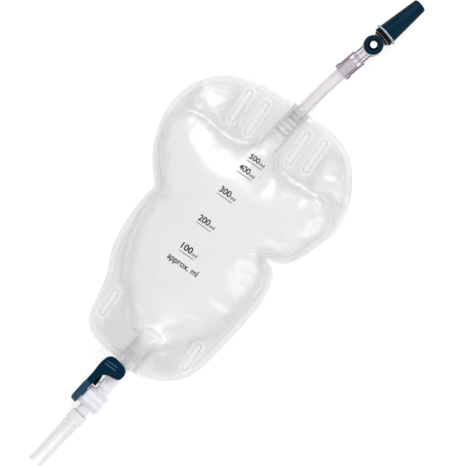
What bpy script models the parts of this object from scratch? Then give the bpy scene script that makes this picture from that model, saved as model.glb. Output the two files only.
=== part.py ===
"""A 500 ml leg bag for urine drainage, empty but for air, lying on its back.

+Z is up and out of the bag's front, +Y runs from the tap to the inlet, and the origin is the middle
of the flat patch on which the back film rests. All sizes below are in millimetres.
"""
import math
from collections import namedtuple

import bmesh
import bpy
import numpy as np
from mathutils import Matrix, Vector
from mathutils.geometry import delaunay_2d_cdt

MM = 0.001
GAP = 0.3  # between pieces that touch on the real bag
TURNS = 24  # sides of a large round piece
SMALL_TURNS = 16  # sides of a small or hidden one

# The bag
DRAWN_W, DRAWN_L = 147.0, 216.0  # the size at which the outlines below are drawn
BAG_W = 147.0
BAG_L = 216.0
FILM_T = 0.4
SEAM_Z = 11.0  # height of the welded rim, and of both ports' axes
FRONT_RISE = 20.0  # of the front film above the seam
BACK_FALL = 20.0  # of the back film below it, if no table stopped it
EDGE_DROOP = 2.5  # of the rim's sides, which hang lower than the ports
DROOP_FROM = 0.25  # share of the half width at which the rim starts to hang
RIM_W = 4.6  # weld along the rim
SHOULDER_RISE = 2.2  # of the slack film between the welds of a shoulder
SHOULDER_PRESSURE = 0.5  # beside the pressure in the reservoir
GATHER_IN = 5.0  # from a weld to the row where its gathers are deepest
GATHER_SHARE = 0.11  # of the film's height there
EDGE_STEP = 6.0  # between points along a rim
FILL_STEP = 10.2  # between points inside
ROOM = 2.8  # least distance from a gather or a weld's inner edge to another point
FOLD_ROOM = 1.6  # and from a fold's ridge
MERGE = 0.05  # points nearer than this are one
LEAN = math.radians(8.6)  # of the bag's own axis, to the left of the tubes' line

# Strap slots: the middle of each, and its length
SLOT_W = 3.6
SLOT_WELD = 3.0
SLOT_L = 27.0
LOW_SLOT_L = 21.0
SLOTS = [
    ((-47.8, 80.0), SLOT_L), ((-33.8, 81.2), SLOT_L), ((2.1, 85.4), SLOT_L), ((14.5, 89.8), SLOT_L),
    ((-21.5, -84.0), LOW_SLOT_L), ((47.3, -72.8), LOW_SLOT_L),
]

# The ports' places in the bag's plan, and the welds beside them
INLET_X = -14.2
OUTLET_X = 16.8
INLET_MOUTH_Y = 107.6
OUTLET_MOUTH_Y = -108.4
INLET_PORT_L = 30.2
OUTLET_PORT_L = 21.7
INLET_WELD_PAST = 4.4  # of the weld beyond the inlet port's inner end
INLET_FLANK = 8.0  # half width of the weld round a port
OUTLET_FLANK = 11.0
TAPER = 13.0  # over which the film leaves a port
INLET_INNER_Y = INLET_MOUTH_Y - INLET_PORT_L - INLET_WELD_PAST
OUTLET_INNER_Y = OUTLET_MOUTH_Y + OUTLET_PORT_L - GAP

# The rim, in four runs that meet at the ports and at the two notches of the waist
RIM_UPPER_RIGHT = [
    (INLET_X + INLET_FLANK, INLET_MOUTH_Y),
    (0.0, 109.3), (9.3, 110.4), (18.7, 109.7), (29.2, 107.3), (37.3, 102.7),
    (46.7, 93.3), (53.7, 84.0), (58.6, 74.2), (61.2, 63.8), (60.7, 53.7), (56.8, 33.5),
    (53.9, 24.2), (49.4, 18.6), (39.4, 13.9),
]
RIM_LOWER_RIGHT = [
    (38.9, 12.7), (45.9, 11.6), (50.4, 8.0), (54.4, -1.5), (57.6, -14.0), (58.4, -35.0),
    (58.2, -62.0), (56.2, -81.0), (50.2, -92.2), (42.0, -100.3), (33.5, -105.2),
    (OUTLET_X + OUTLET_FLANK, OUTLET_MOUTH_Y),
]
RIM_LOWER_LEFT = [
    (OUTLET_X - OUTLET_FLANK, OUTLET_MOUTH_Y),
    (-5.5, -109.2), (-16.6, -107.3), (-23.6, -103.2), (-27.5, -95.0), (-31.2, -83.0),
    (-36.0, -70.5), (-44.0, -58.3), (-49.6, -44.5), (-52.6, -29.0), (-54.2, -13.0), (-54.4, -6.4),
    (-52.7, -2.8),
]
RIM_UPPER_LEFT = [
    (-52.7, -2.8), (-58.3, 2.3), (-66.5, 8.8), (-75.0, 19.2), (-81.3, 32.0), (-84.9, 44.0),
    (-85.8, 56.0), (-83.6, 68.2), (-78.4, 79.0), (-70.2, 89.0), (-58.3, 97.3), (-44.3, 102.7),
    (-30.3, 105.3), (INLET_X - INLET_FLANK, INLET_MOUTH_Y),
]

# The reservoir's edge, likewise
POUCH_UPPER_RIGHT = [
    (INLET_X + INLET_FLANK, INLET_INNER_Y),
    (-3.2, 68.3), (2.5, 64.6), (14.0, 64.9), (24.5, 67.2), (33.0, 71.0), (40.8, 73.6),
    (48.6, 70.7), (54.6, 63.5), (57.0, 53.7), (55.4, 42.0), (52.5, 28.5), (48.4, 21.6), (36.2, 14.0),
]
POUCH_LOWER_RIGHT = [
    (36.2, 12.0), (44.0, 7.6), (48.2, -1.0), (50.0, -13.0), (50.2, -29.0), (48.9, -43.2),
    (45.8, -56.5), (40.6, -68.5), (34.0, -79.3), (OUTLET_X + OUTLET_FLANK, OUTLET_INNER_Y - 2.0),
]
POUCH_LOWER_LEFT = [
    (OUTLET_X - OUTLET_FLANK, OUTLET_INNER_Y - 4.0),
    (-2.3, -84.5), (-12.5, -74.6), (-25.7, -62.0), (-34.0, -51.5), (-40.6, -39.8),
    (-45.6, -27.0), (-49.0, -13.5), (-49.6, -6.0), (-48.6, -2.4),
]
POUCH_UPPER_LEFT = [
    (-48.6, -2.4), (-59.6, 8.6), (-68.6, 18.0), (-75.2, 28.6), (-78.6, 39.0), (-76.6, 48.5),
    (-69.5, 55.4), (-58.3, 58.0), (-46.0, 57.2), (-36.5, 57.8), (-28.5, 61.1), (-24.0, 66.2),
    (INLET_X - INLET_FLANK, INLET_INNER_Y),
]

# Folds of the front film: a ridge line, its height, below 0 for a furrow, and its half width
FOLDS = [
    ([(-77.0, 63.5), (-66.0, 66.2), (-56.0, 65.4), (-47.5, 62.0)], 3.0, 4.2),
    ([(27.6, 73.0), (31.5, 79.6), (36.5, 84.6), (43.5, 86.6), (50.0, 81.5)], 3.2, 3.8),
    ([(-43.6, 80.0), (-41.0, 72.0), (-37.6, 63.6)], 1.3, 3.2),
    ([(-45.0, -5.0), (-36.0, -10.5), (-25.0, -10.8)], -3.2, 4.0),
    ([(39.0, 69.0), (39.5, 63.0), (36.0, 55.0)], -1.8, 3.4),
    ([(33.0, 11.5), (24.0, 8.5), (14.0, 8.0)], -2.4, 4.4),
    ([(-12.5, 66.0), (-13.5, 59.0), (-15.5, 51.5)], 1.6, 2.6),
    ([(25.5, -85.5), (26.5, -78.0), (29.0, -70.0)], 1.5, 2.4),
    ([(4.8, -86.5), (2.0, -80.0), (-2.0, -73.5)], 1.5, 2.4),
]

# Inlet port, measured along its axis from its inner end
INLET_PORT_R = 4.9
INLET_COLLAR_R = 5.85
INLET_COLLAR_L = 5.2
INLET_NOSE_R, INLET_NOSE_L = 4.3, 7.0  # the plain end that the valve's films grip
INLET_RIBS = 4
RIB_H = 0.5
TUBE_R, TUBE_BORE_R = 4.25, 2.75
TUBE_IN = 11.0  # how far the tube is pushed into the port and the connector
TUBE_FREE_L, TUBE_DRIFT = 37.4, 2.1  # between port and connector, along Y and across

# Non-return valve
FLAP_T = 0.4
FLAP_GRIP_L, FLAP_L = 4.6, 27.4  # over the port's nose, and beyond it
FLAP_HALF_W = 11.0
FLAP_CLOSES = 0.93  # share of the nose's height that each film loses by its far end

# Connector, measured along its axis from the socket's mouth
CONNECTOR_LEAN = math.radians(6.5)
SOCKET_R, SOCKET_L = 5.85, 15.2
SOCKET_FLANGE_R, SOCKET_FLANGE_L = 6.4, 3.4
STEP_RING_R, STEP_RING_L = 6.2, 1.1
NECK_R, NECK_END = 4.75, 22.6
RUN_R, LUMEN_R = 5.2, 2.4
FLANGE_R, FLANGE_AT, FLANGE_T = 8.75, 40.8, 1.2
NOZZLE_BASE_R, NOZZLE_TIP_R, NOZZLE_L = 4.6, 3.2, 26.5
PORT_AT = 29.1
BOSS_R, BOSS_LOW, BOSS_TOP = 7.2, -3.0, 5.5
PORT_RING_R, PORT_RING_TOP = 6.9, 9.8
PORT_BORE_R = 3.5
SEPTUM_R, SEPTUM_BASE_R = 2.45, 3.1
SEPTUM_TOP, SEPTUM_STEP, SEPTUM_LOW = 9.1, 6.2, 2.7
SLEEVE_NARROW_R, SLEEVE_WIDE_R = 6.05, 7.35
SLEEVE_AT, SLEEVE_STEP_AT = 36.6, 38.0

# Protective cap
CAP_BASE_R, CAP_TIP_R, CAP_L = 7.3, 5.1, 31.3
CAP_WALL = 1.2
CAP_GRIP_L = 4.5

# Outlet port
OUTLET_PORT_R, OUTLET_BORE_R = 7.1, 4.0
OUTLET_COLLAR_L = 4.5
OUTLET_RIBS = 4

# Tap, measured from the barrel's centre
TAP_DOWN = 33.2  # from the bag's lower mouth to the barrel's axis
BARREL_R, BARREL_BORE_R = 7.7, 5.8
BARREL_LEFT, BARREL_RIGHT = -7.6, 6.8
BARREL_CHAMFER = 0.7
FLOW_R = 1.8
THROAT_R, THROAT_END = 4.1, 10.6
NECK_RIB_R, NECK_RIB_L = 5.5, 2.6
TAP_NECK_R = 5.1
SPIGOT_R, SPIGOT_L = 3.7, 12.0
NOZZLE_R, OUTLET_NOZZLE_L = 4.45, 12.8
BARB_R, BARB_STEM_R, BARB_L = 3.6, 3.1, 17.6
END_CAP_T, END_CAP_SPIGOT_L = 1.6, 1.7
DRIVE_W, DRIVE_L = 4.4, 3.4
LEVER_TRAVEL = math.radians(135)

# Lever
HUB_R, HUB_T = 9.7, 4.3
HUB_LIP = 0.8
ARM_TOP = 9.5
ARM_LOW = 3.4
PADDLE_NEAR, PADDLE_FAR = 21.0, 32.6
PADDLE_RIGHT = 4.4
PADDLE_T = 3.5
PADDLE_CORNER = 3.6
GRIP_LINES = 2
GRIP_H = 0.35

# Outlet tube
OUT_TUBE_L = 46.6
OUT_TUBE_R, OUT_TUBE_BORE_R = 5.35, 3.9
OUT_COLLAR_R, OUT_COLLAR_L = 6.05, 7.6
OUT_MID_R, OUT_MID_L = 5.7, 11.4

LENGTHWISE = Matrix.Rotation(math.radians(-90), 4, "X")  # turns a profile's +Z to +Y
SIDEWAYS = Matrix.Rotation(math.radians(90), 4, "Y")  # and to +X


def start_empty():
    for obj in list(bpy.data.objects):
        bpy.data.objects.remove(obj, do_unlink=True)


def plastic(name, rgb, roughness, clear=0.0):
    mat = bpy.data.materials.new(name)
    mat.use_nodes = True
    shader = mat.node_tree.nodes["Principled BSDF"]
    shader.inputs["Base Color"].default_value = (*rgb, 1)
    shader.inputs["Roughness"].default_value = roughness
    shader.inputs["Metallic"].default_value = 0
    shader.inputs["Transmission Weight"].default_value = clear
    return mat


def add_object(name, bm, mat, matrix=None, cutter=False):
    """A bmesh in millimetres becomes an object in metres at the matrix, which is in millimetres."""
    bmesh.ops.scale(bm, vec=(MM, MM, MM), verts=bm.verts)
    mesh = bpy.data.meshes.new(name)
    bm.to_mesh(mesh)
    bm.free()
    obj = bpy.data.objects.new(name, mesh)
    bpy.context.scene.collection.objects.link(obj)
    place = (matrix or Matrix()).copy()
    place.translation *= MM
    obj.matrix_world = place
    if cutter:
        obj.hide_render = True
        obj.display_type = "WIRE"
    else:
        mesh.materials.append(mat)
        mesh.shade_smooth()
        mesh.set_sharp_from_angle(angle=math.radians(35))
    return obj


def turned(profile, sides, closed):
    """A profile of (radius, height) points turned about Z. A closed one makes a wall round a bore."""
    bm = bmesh.new()
    verts = [bm.verts.new((r, 0, z)) for r, z in profile]
    edges = [bm.edges.new(pair) for pair in zip(verts, verts[1:])]
    if closed:
        edges.append(bm.edges.new((verts[-1], verts[0])))
    bmesh.ops.spin(
        bm, geom=verts + edges, cent=(0, 0, 0), axis=(0, 0, 1), angle=math.tau, steps=sides, use_merge=True
    )
    bmesh.ops.remove_doubles(bm, verts=bm.verts, dist=1e-4)
    bmesh.ops.dissolve_degenerate(bm, dist=1e-5, edges=bm.edges)
    bmesh.ops.recalc_face_normals(bm, faces=bm.faces)
    return bm


def rod(radius, low, high, sides):
    return turned([(0, low), (radius, low), (radius, high), (0, high)], sides, closed=False)


def prism(outline, low, high):
    """A flat outline in X and Y, extruded along Z."""
    bm = bmesh.new()
    face = bm.faces.new([bm.verts.new((x, y, low)) for x, y in outline])
    top = bmesh.ops.extrude_face_region(bm, geom=[face])["geom"]
    raised = [v for v in top if isinstance(v, bmesh.types.BMVert)]
    bmesh.ops.translate(bm, vec=(0, 0, high - low), verts=raised)
    bmesh.ops.recalc_face_normals(bm, faces=bm.faces)
    return bm


def boolean(obj, operation, other):
    mod = obj.modifiers.new(operation.lower(), "BOOLEAN")
    mod.operation = operation
    mod.object = other
    mod.solver = "EXACT"


def arc(cx, cy, radius, start, end, steps):
    """Points on an arc, with its angles in degrees."""
    angles = [math.radians(start + (end - start) * i / steps) for i in range(steps + 1)]
    return [(cx + radius * math.cos(a), cy + radius * math.sin(a)) for a in angles]


# The bag's plan: outlines, welds, slots and folds, triangulated once for both films


def plan(x, y):
    return np.array([x * BAG_W / DRAWN_W, y * BAG_L / DRAWN_L])


def curve_through(points, step):
    """Evenly spaced points on a smooth curve through the drawn ones, both ends kept."""
    pts = [plan(x, y) for x, y in points]
    pts = [2 * pts[0] - pts[1]] + pts + [2 * pts[-1] - pts[-2]]
    fine = []
    for a, b, c, d in zip(pts, pts[1:], pts[2:], pts[3:]):
        bend, twist = 2 * a - 5 * b + 4 * c - d, 3 * b - a - 3 * c + d
        for t in np.linspace(0, 1, 12, endpoint=False):
            fine.append(0.5 * (2 * b + (c - a) * t + bend * t**2 + twist * t**3))
    fine.append(pts[-2])
    fine = np.array(fine)
    along = np.concatenate([[0], np.cumsum(np.linalg.norm(np.diff(fine, axis=0), axis=1))])
    count = max(2, round(along[-1] / step))
    wanted = np.linspace(0, along[-1], count + 1)
    return [np.array([np.interp(w, along, fine[:, 0]), np.interp(w, along, fine[:, 1])]) for w in wanted]


def inside(point, loop):
    x, y = point
    hit = False
    for (x1, y1), (x2, y2) in zip(loop, loop[1:] + loop[:1]):
        if (y1 > y) != (y2 > y) and x < x1 + (y - y1) * (x2 - x1) / (y2 - y1):
            hit = not hit
    return hit


def distance_to(point, line):
    """From a point to a line of points."""
    best = math.inf
    for a, b in zip(line, line[1:]):
        ab = b - a
        if not ab.any():
            continue
        t = min(1.0, max(0.0, float(np.dot(point - a, ab) / np.dot(ab, ab))))
        best = min(best, float(np.linalg.norm(point - a - t * ab)))
    return best


def stadium(middle, length, width, steps):
    """The outline of a strap slot, leaning with the bag."""
    reach = (length - width) / 2
    ends = arc(0, reach, width / 2, 0, 180, steps) + arc(0, -reach, width / 2, 180, 360, steps)
    turn = np.array([[math.cos(LEAN), -math.sin(LEAN)], [math.sin(LEAN), math.cos(LEAN)]])
    return [middle + turn @ np.array(p) for p in ends]


def port_columns(port):
    """Offsets across a port at which the film over it has a fold line."""
    half = [port.radius * CORNER * math.sin(math.radians(a)) for a in (30, 60, 90)]
    return sorted([-port.flank, port.flank, 0.0] + half + [-h for h in half])


class Plan:
    """Points of the plan, the lines kept as edges, and which points are welded."""

    def __init__(self):
        self.points, self.edges, self.welded, self.gather = [], [], set(), {}

    def add(self, point, welded=False):
        for i, other in enumerate(self.points):
            if abs(other[0] - point[0]) < MERGE and abs(other[1] - point[1]) < MERGE:
                break
        else:
            i = len(self.points)
            self.points.append(np.array(point, float))
        if welded:
            self.welded.add(i)
        return i

    def add_line(self, points, welded=True, closed=False):
        ids = [self.add(p, welded) for p in points]
        self.edges += list(zip(ids, ids[1:])) + ([(ids[-1], ids[0])] if closed else [])
        return ids

    def clear_of(self, point, distance):
        return min(float(np.linalg.norm(point - p)) for p in self.points) > distance


Port = namedtuple("Port", "mouth end radius flank rows")
CORNER = 1 / math.cos(math.radians(15))  # corners of a 12-sided film whose flats clear a round port
INLET_AT = plan(INLET_X, INLET_MOUTH_Y)
OUTLET_AT = plan(OUTLET_X, OUTLET_MOUTH_Y)
INLET_END = INLET_AT - np.array([0, INLET_MOUTH_Y - INLET_INNER_Y])
OUTLET_END = OUTLET_AT + np.array([0, OUTLET_INNER_Y - OUTLET_MOUTH_Y])
PORTS = [
    Port(INLET_AT, INLET_END, INLET_COLLAR_R + GAP, INLET_FLANK * BAG_W / DRAWN_W, 5),
    Port(OUTLET_AT, OUTLET_END, OUTLET_PORT_R + GAP, OUTLET_FLANK * BAG_W / DRAWN_W, 4),
]


def tunnel(point):
    """How high the film stands over a port, at a point of the plan."""
    for port in PORTS:
        outer = port.radius * CORNER
        across = abs(point[0] - port.mouth[0])
        beyond = (port.end[1] - point[1]) * (1 if port.mouth[1] > port.end[1] else -1)
        if across <= outer and beyond <= TAPER:
            turns = np.radians([0, 30, 60, 90])
            height = float(np.interp(across, outer * np.sin(turns), outer * np.cos(turns)))
            return height * (1 - max(0.0, beyond) / TAPER)
    return 0.0


def draw_plan():
    drawing = Plan()
    rims = (RIM_UPPER_RIGHT, RIM_LOWER_RIGHT, RIM_LOWER_LEFT, RIM_UPPER_LEFT)
    pouches = (POUCH_UPPER_RIGHT, POUCH_LOWER_RIGHT, POUCH_LOWER_LEFT, POUCH_UPPER_LEFT)
    runs = [curve_through(r, EDGE_STEP) for r in rims]
    pouch = [curve_through(r, EDGE_STEP) for r in pouches]
    mouths = []
    for port in PORTS:
        across = port_columns(port)
        if port.mouth[1] < port.end[1]:
            across = across[::-1]
        mouths.append([port.mouth + np.array([dx, 0]) for dx in across])
    rim = mouths[0] + runs[0] + runs[1] + mouths[1] + runs[2] + runs[3]
    rim_ids = drawing.add_line(rim, closed=True)
    rim = [drawing.points[i] for i in dict.fromkeys(rim_ids)]

    holes = []
    for (x, y), length in SLOTS:
        middle = plan(x, y)
        holes.append(stadium(middle, length, SLOT_W, 3))
        drawing.add_line(holes[-1], closed=True)
        drawing.add_line(stadium(middle, length + 2 * SLOT_WELD, SLOT_W + 2 * SLOT_WELD, 4), closed=True)

    for port in PORTS:
        for dx in port_columns(port):
            rows = np.linspace(port.mouth[1], port.end[1], port.rows)
            drawing.add_line([np.array([port.mouth[0] + dx, y]) for y in rows])
        further = TAPER / 2 * (1 if port.mouth[1] < port.end[1] else -1)
        for dx in port_columns(port)[1:-1]:
            drawing.add(port.end + np.array([dx, further]))

    for run in pouch:
        drawing.add_line(run)
    edge = pouch[0] + pouch[1] + [OUTLET_END] + pouch[2] + pouch[3]

    for line, _, half_width in FOLDS:
        ridge = [p for p in curve_through(line, EDGE_STEP) if drawing.clear_of(p, FOLD_ROOM)]
        if len(ridge) > 1:
            drawing.add_line(ridge, welded=False)
        foot = 1.3 * half_width
        for a, b in zip(ridge, ridge[1:]):
            side = np.array([a[1] - b[1], b[0] - a[0]]) / np.linalg.norm(b - a) * foot
            for p in ((a + b) / 2 + side, (a + b) / 2 - side):
                if drawing.clear_of(p, ROOM):
                    drawing.add(p)

    for run in pouch:
        for i in range(1, len(run) - 1):
            along = run[i + 1] - run[i - 1]
            inward = np.array([along[1], -along[0]]) / np.linalg.norm(along)
            p = run[i] + inward * GATHER_IN
            if inside(p, edge) and drawing.clear_of(p, ROOM):
                drawing.gather[drawing.add(p)] = 1 if i % 2 else -1

    for i, p in enumerate(rim):
        along = rim[(i + 1) % len(rim)] - rim[i - 1]
        inward = np.array([along[1], -along[0]]) / np.linalg.norm(along)
        q = p + inward * RIM_W
        if inside(q, rim) and not inside(q, edge) and distance_to(q, edge) > ROOM:
            if drawing.clear_of(q, ROOM):
                drawing.add(q, welded=True)

    low = np.min(rim, axis=0)
    high = np.max(rim, axis=0)
    row_step = FILL_STEP * math.sqrt(3) / 2
    near = 0.52 * FILL_STEP
    for row in range(int((high[1] - low[1]) / row_step) + 1):
        for column in range(int((high[0] - low[0]) / FILL_STEP) + 1):
            p = low + np.array([(column + 0.5 * (row % 2)) * FILL_STEP, row * row_step])
            if inside(p, rim) and distance_to(p, rim + rim[:1]) > near and drawing.clear_of(p, near):
                if not any(inside(p, hole) for hole in holes):
                    drawing.add(p)
    return drawing, rim, holes, edge


def twice_area(a, b, c):
    """Of a triangle in the plan, above 0 if its corners run anticlockwise."""
    return float((b[0] - a[0]) * (c[1] - a[1]) - (b[1] - a[1]) * (c[0] - a[0]))


def triangulate(drawing, rim, holes):
    """Triangles of the plan inside the rim and outside the slots, facing up."""
    verts, _, faces, sources, _, _ = delaunay_2d_cdt(
        [Vector(p) for p in drawing.points], drawing.edges, [], 0, 1e-5
    )
    points = [np.array(v) for v in verts]
    kept = []
    for face in faces:
        a, b, c = (points[i] for i in face)
        middle = (a + b + c) / 3
        turn = twice_area(a, b, c)
        if abs(turn) < 1e-6 or not inside(middle, rim) or any(inside(middle, h) for h in holes):
            continue
        kept.append(tuple(face) if turn > 0 else tuple(face)[::-1])
    used = sorted({i for face in kept for i in face})
    number = {old: new for new, old in enumerate(used)}
    welded = {number[i] for i in used if any(s in drawing.welded for s in sources[i])}
    gather = {number[i]: drawing.gather[s] for i in used for s in sources[i] if s in drawing.gather}
    return [points[i] for i in used], [tuple(number[i] for i in f) for f in kept], welded, gather


def blown_up(points, faces, welded, pressure):
    """Heights of a stretched skin, held at its welds and pushed up by the pressure at each point."""
    n = len(points)
    stiff = np.zeros((n, n))
    load = np.zeros(n)
    for face in faces:
        corners = [points[i] for i in face]
        area = 0.5 * abs(twice_area(*corners))
        for k in range(3):
            i, j, o = face[k], face[(k + 1) % 3], corners[(k + 2) % 3]
            weight = 0.25 * float(np.dot(points[i] - o, points[j] - o)) / area
            stiff[i, j] -= weight
            stiff[j, i] -= weight
            stiff[i, i] += weight
            stiff[j, j] += weight
            load[i] += area / 3 * pressure[i]
    free = [i for i in range(n) if i not in welded]
    heights = np.zeros(n)
    heights[free] = np.linalg.solve(stiff[np.ix_(free, free)], load[free])
    return np.maximum(heights, 0)


def film_heights():
    """The plan, and the height of the front and of the back film off the seam at each of its points."""
    drawing, rim, holes, edge = draw_plan()
    points, faces, welded, gather = triangulate(drawing, rim, holes)
    in_pouch = np.array([inside(p, edge) for p in points])
    pressure = np.where(in_pouch, 1.0, SHOULDER_PRESSURE)
    skin = blown_up(points, faces, welded, pressure)
    pouch_top = skin[in_pouch].max()
    shoulder_top = skin[~in_pouch].max()
    dome = np.where(in_pouch, np.sqrt(skin / pouch_top), 0)
    slack = np.where(in_pouch, 0, (skin / shoulder_top) ** 0.6)
    ripple = np.array([1 + GATHER_SHARE * gather.get(i, 0) for i in range(len(points))])
    over_port = np.array([tunnel(p) for p in points])
    folds = np.zeros(len(points))
    for line, height, half_width in FOLDS:
        ridge = curve_through(line, EDGE_STEP)
        ends = (ridge[0], ridge[-1])
        for i, p in enumerate(points):
            reach = distance_to(p, ridge)
            if i in welded or reach > 3 * half_width:
                continue
            fade = min(1.0, min(float(np.linalg.norm(p - e)) for e in ends) / (2 * half_width) + 0.35)
            folds[i] += height * math.exp(-((reach / half_width) ** 2)) * fade
    raised = FRONT_RISE * dome * ripple + SHOULDER_RISE * slack + folds
    front = np.hypot(np.maximum(raised, 0), over_port)
    front[[i for i in range(len(points)) if i in welded and over_port[i] == 0]] = 0
    back = np.hypot(BACK_FALL * dome * ripple + 0.5 * SHOULDER_RISE * slack, over_port)
    return points, faces, front, back


def seam_height(point):
    """The rim hangs a little lower at the bag's sides than at its ports."""
    along = (point[1] - OUTLET_AT[1]) / (INLET_AT[1] - OUTLET_AT[1])
    axis_x = OUTLET_AT[0] + (INLET_AT[0] - OUTLET_AT[0]) * along
    side = abs(point[0] - axis_x) / (BAG_W / 2)
    return SEAM_Z - EDGE_DROOP * max(0.0, (side - DROOP_FROM) / (1 - DROOP_FROM)) ** 1.6


def flattened(fall, most):
    """A fall that the table stops at most, with a soft turn before it."""
    turn = 0.25 * most
    if fall < most - turn:
        return fall
    if fall > most + turn:
        return most
    return fall - (fall - most + turn) ** 2 / (4 * turn)


def steepness(points, faces, heights):
    """At each point, how much thicker the film is when measured upright."""
    total = np.zeros(len(points))
    shared = np.zeros(len(points))
    for face in faces:
        a, b, c = (Vector((*points[i], heights[i])) for i in face)
        normal = (b - a).cross(c - a).normalized()
        for i in face:
            total[i] += min(2.0, 1 / max(abs(normal.z), 0.01))
            shared[i] += 1
    return total / shared


def make_film(name, points, faces, inner, outer, mat):
    """A film between two surfaces over the plan. The outer one may lie above or below the inner."""
    bm = bmesh.new()
    near = [bm.verts.new((*p, z)) for p, z in zip(points, inner)]
    far = [bm.verts.new((*p, z)) for p, z in zip(points, outer)]
    sides = {}
    for face in faces:
        bm.faces.new([far[i] for i in face])
        bm.faces.new([near[i] for i in reversed(face)])
        for pair in zip(face, face[1:] + face[:1]):
            sides[pair] = sides.get(pair[::-1], 0) + 1
            if pair[::-1] in sides:
                sides.pop(pair)
                sides.pop(pair[::-1])
    for a, b in sides:
        bm.faces.new([near[a], near[b], far[b], far[a]])
    if outer[0] < inner[0]:
        bmesh.ops.reverse_faces(bm, faces=bm.faces)
    return add_object(name, bm, mat)


def make_films(mat):
    points, faces, front, back = film_heights()
    seam = np.array([seam_height(p) for p in points])
    inner = seam + GAP / 2 + front
    make_film("front_film", points, faces, inner, inner + FILM_T * steepness(points, faces, inner), mat)
    fall = np.array([flattened(b, s - GAP / 2 - FILM_T) for b, s in zip(back, seam)])
    inner = seam - GAP / 2 - fall
    outer = np.maximum(inner - FILM_T * steepness(points, faces, inner), 0)
    outer[fall >= seam - GAP / 2 - FILM_T - 1e-6] = 0
    make_film("back_film", points, faces, inner, outer, mat)


# Non-return valve: two films that grip the port's nose and lie on each other below it


def make_flap(name, side, mat):
    """side is 1 for the front film and -1 for the back one."""
    nose_y = INLET_AT[1] - INLET_PORT_L
    beyond_nose = [-FLAP_GRIP_L, 0.5, 0.25 * FLAP_L, 0.5 * FLAP_L, FLAP_L]
    grip = (INLET_NOSE_R + GAP) * CORNER
    bm = bmesh.new()
    grid, lifted = [], []
    for beyond in beyond_nose:
        y = nose_y - beyond
        height = grip * (1 - FLAP_CLOSES * max(0.0, beyond / FLAP_L) ** 0.6)
        spread = min(1.0, max(0.0, beyond / FLAP_L - 0.1) / 0.5)
        half_w = grip + (FLAP_HALF_W - grip) * spread
        grid.append([])
        lifted.append([])
        for angle in range(0, 181, 30):
            across, up = math.cos(math.radians(angle)), math.sin(math.radians(angle))
            outward = Vector((height * across, half_w * up)).normalized() * FLAP_T
            x, z = INLET_AT[0] + half_w * across, height * up + GAP / 2
            grid[-1].append(bm.verts.new((x, y, SEAM_Z + side * z)))
            lifted[-1].append(bm.verts.new((x + outward.x, y, SEAM_Z + side * (z + outward.y))))
    last = len(grid) - 1
    for i in range(last):
        for j in range(6):
            bm.faces.new((lifted[i][j], lifted[i][j + 1], lifted[i + 1][j + 1], lifted[i + 1][j]))
            bm.faces.new((grid[i + 1][j], grid[i + 1][j + 1], grid[i][j + 1], grid[i][j]))
        for j in (0, 6):
            bm.faces.new((grid[i][j], lifted[i][j], lifted[i + 1][j], grid[i + 1][j]))
    for i in (0, last):
        for j in range(6):
            bm.faces.new((grid[i][j], grid[i][j + 1], lifted[i][j + 1], lifted[i][j]))
    bmesh.ops.recalc_face_normals(bm, faces=bm.faces)
    add_object(name, bm, mat)


# Ports


def ribbed(radius, low, high, count):
    """Profile points of a ribbed stretch, from low to high."""
    pitch = (high - low) / count
    points = []
    for i in range(count):
        middle = low + (i + 0.5) * pitch
        foot = 0.3 * pitch
        points += [(radius, middle - foot), (radius + RIB_H, middle), (radius, middle + foot)]
    return points


def port_matrix(x, y):
    return Matrix.Translation((x, y, SEAM_Z)) @ LENGTHWISE


def make_inlet_port(mat):
    collar_at = INLET_PORT_L - INLET_COLLAR_L
    stop = INLET_PORT_L - TUBE_IN - GAP
    bore = TUBE_R + GAP
    profile = [(TUBE_BORE_R, 0), (INLET_NOSE_R, 0), (INLET_NOSE_R, INLET_NOSE_L)]
    profile += [(INLET_PORT_R, INLET_NOSE_L)]
    profile += ribbed(INLET_PORT_R, INLET_NOSE_L + 1, collar_at - 0.5, INLET_RIBS)
    profile += [(INLET_PORT_R, collar_at), (INLET_COLLAR_R, collar_at), (INLET_COLLAR_R, INLET_PORT_L)]
    profile += [(bore, INLET_PORT_L), (bore, stop), (TUBE_BORE_R, stop)]
    place = port_matrix(INLET_AT[0], INLET_AT[1] + GAP - INLET_PORT_L)
    add_object("inlet_port", turned(profile, SMALL_TURNS, closed=True), mat, place)


def make_outlet_port(mat):
    plain = OUTLET_PORT_R - RIB_H
    profile = [(OUTLET_BORE_R, 0), (OUTLET_PORT_R, 0), (OUTLET_PORT_R, OUTLET_COLLAR_L)]
    profile += ribbed(plain, OUTLET_COLLAR_L + 1, OUTLET_PORT_L - 2, OUTLET_RIBS)
    profile += [(plain, OUTLET_PORT_L), (OUTLET_BORE_R, OUTLET_PORT_L)]
    place = port_matrix(OUTLET_AT[0], OUTLET_AT[1] - GAP)
    add_object("outlet_port", turned(profile, SMALL_TURNS, closed=True), mat, place)


# Inlet tube and connector


CONNECTOR_AXIS = Vector((math.sin(CONNECTOR_LEAN), math.cos(CONNECTOR_LEAN), 0))
CONNECTOR_START = Vector((INLET_AT[0] + TUBE_DRIFT, INLET_AT[1] + TUBE_FREE_L, SEAM_Z))


def connector_matrix(along=0.0, up=False):
    """A place on the connector's axis. A profile's +Z points along the axis, or up if up is set."""
    lean = Matrix.Rotation(-CONNECTOR_LEAN, 4, "Z")
    turn = lean if up else lean @ LENGTHWISE
    return Matrix.Translation(CONNECTOR_START + CONNECTOR_AXIS * along) @ turn


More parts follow.
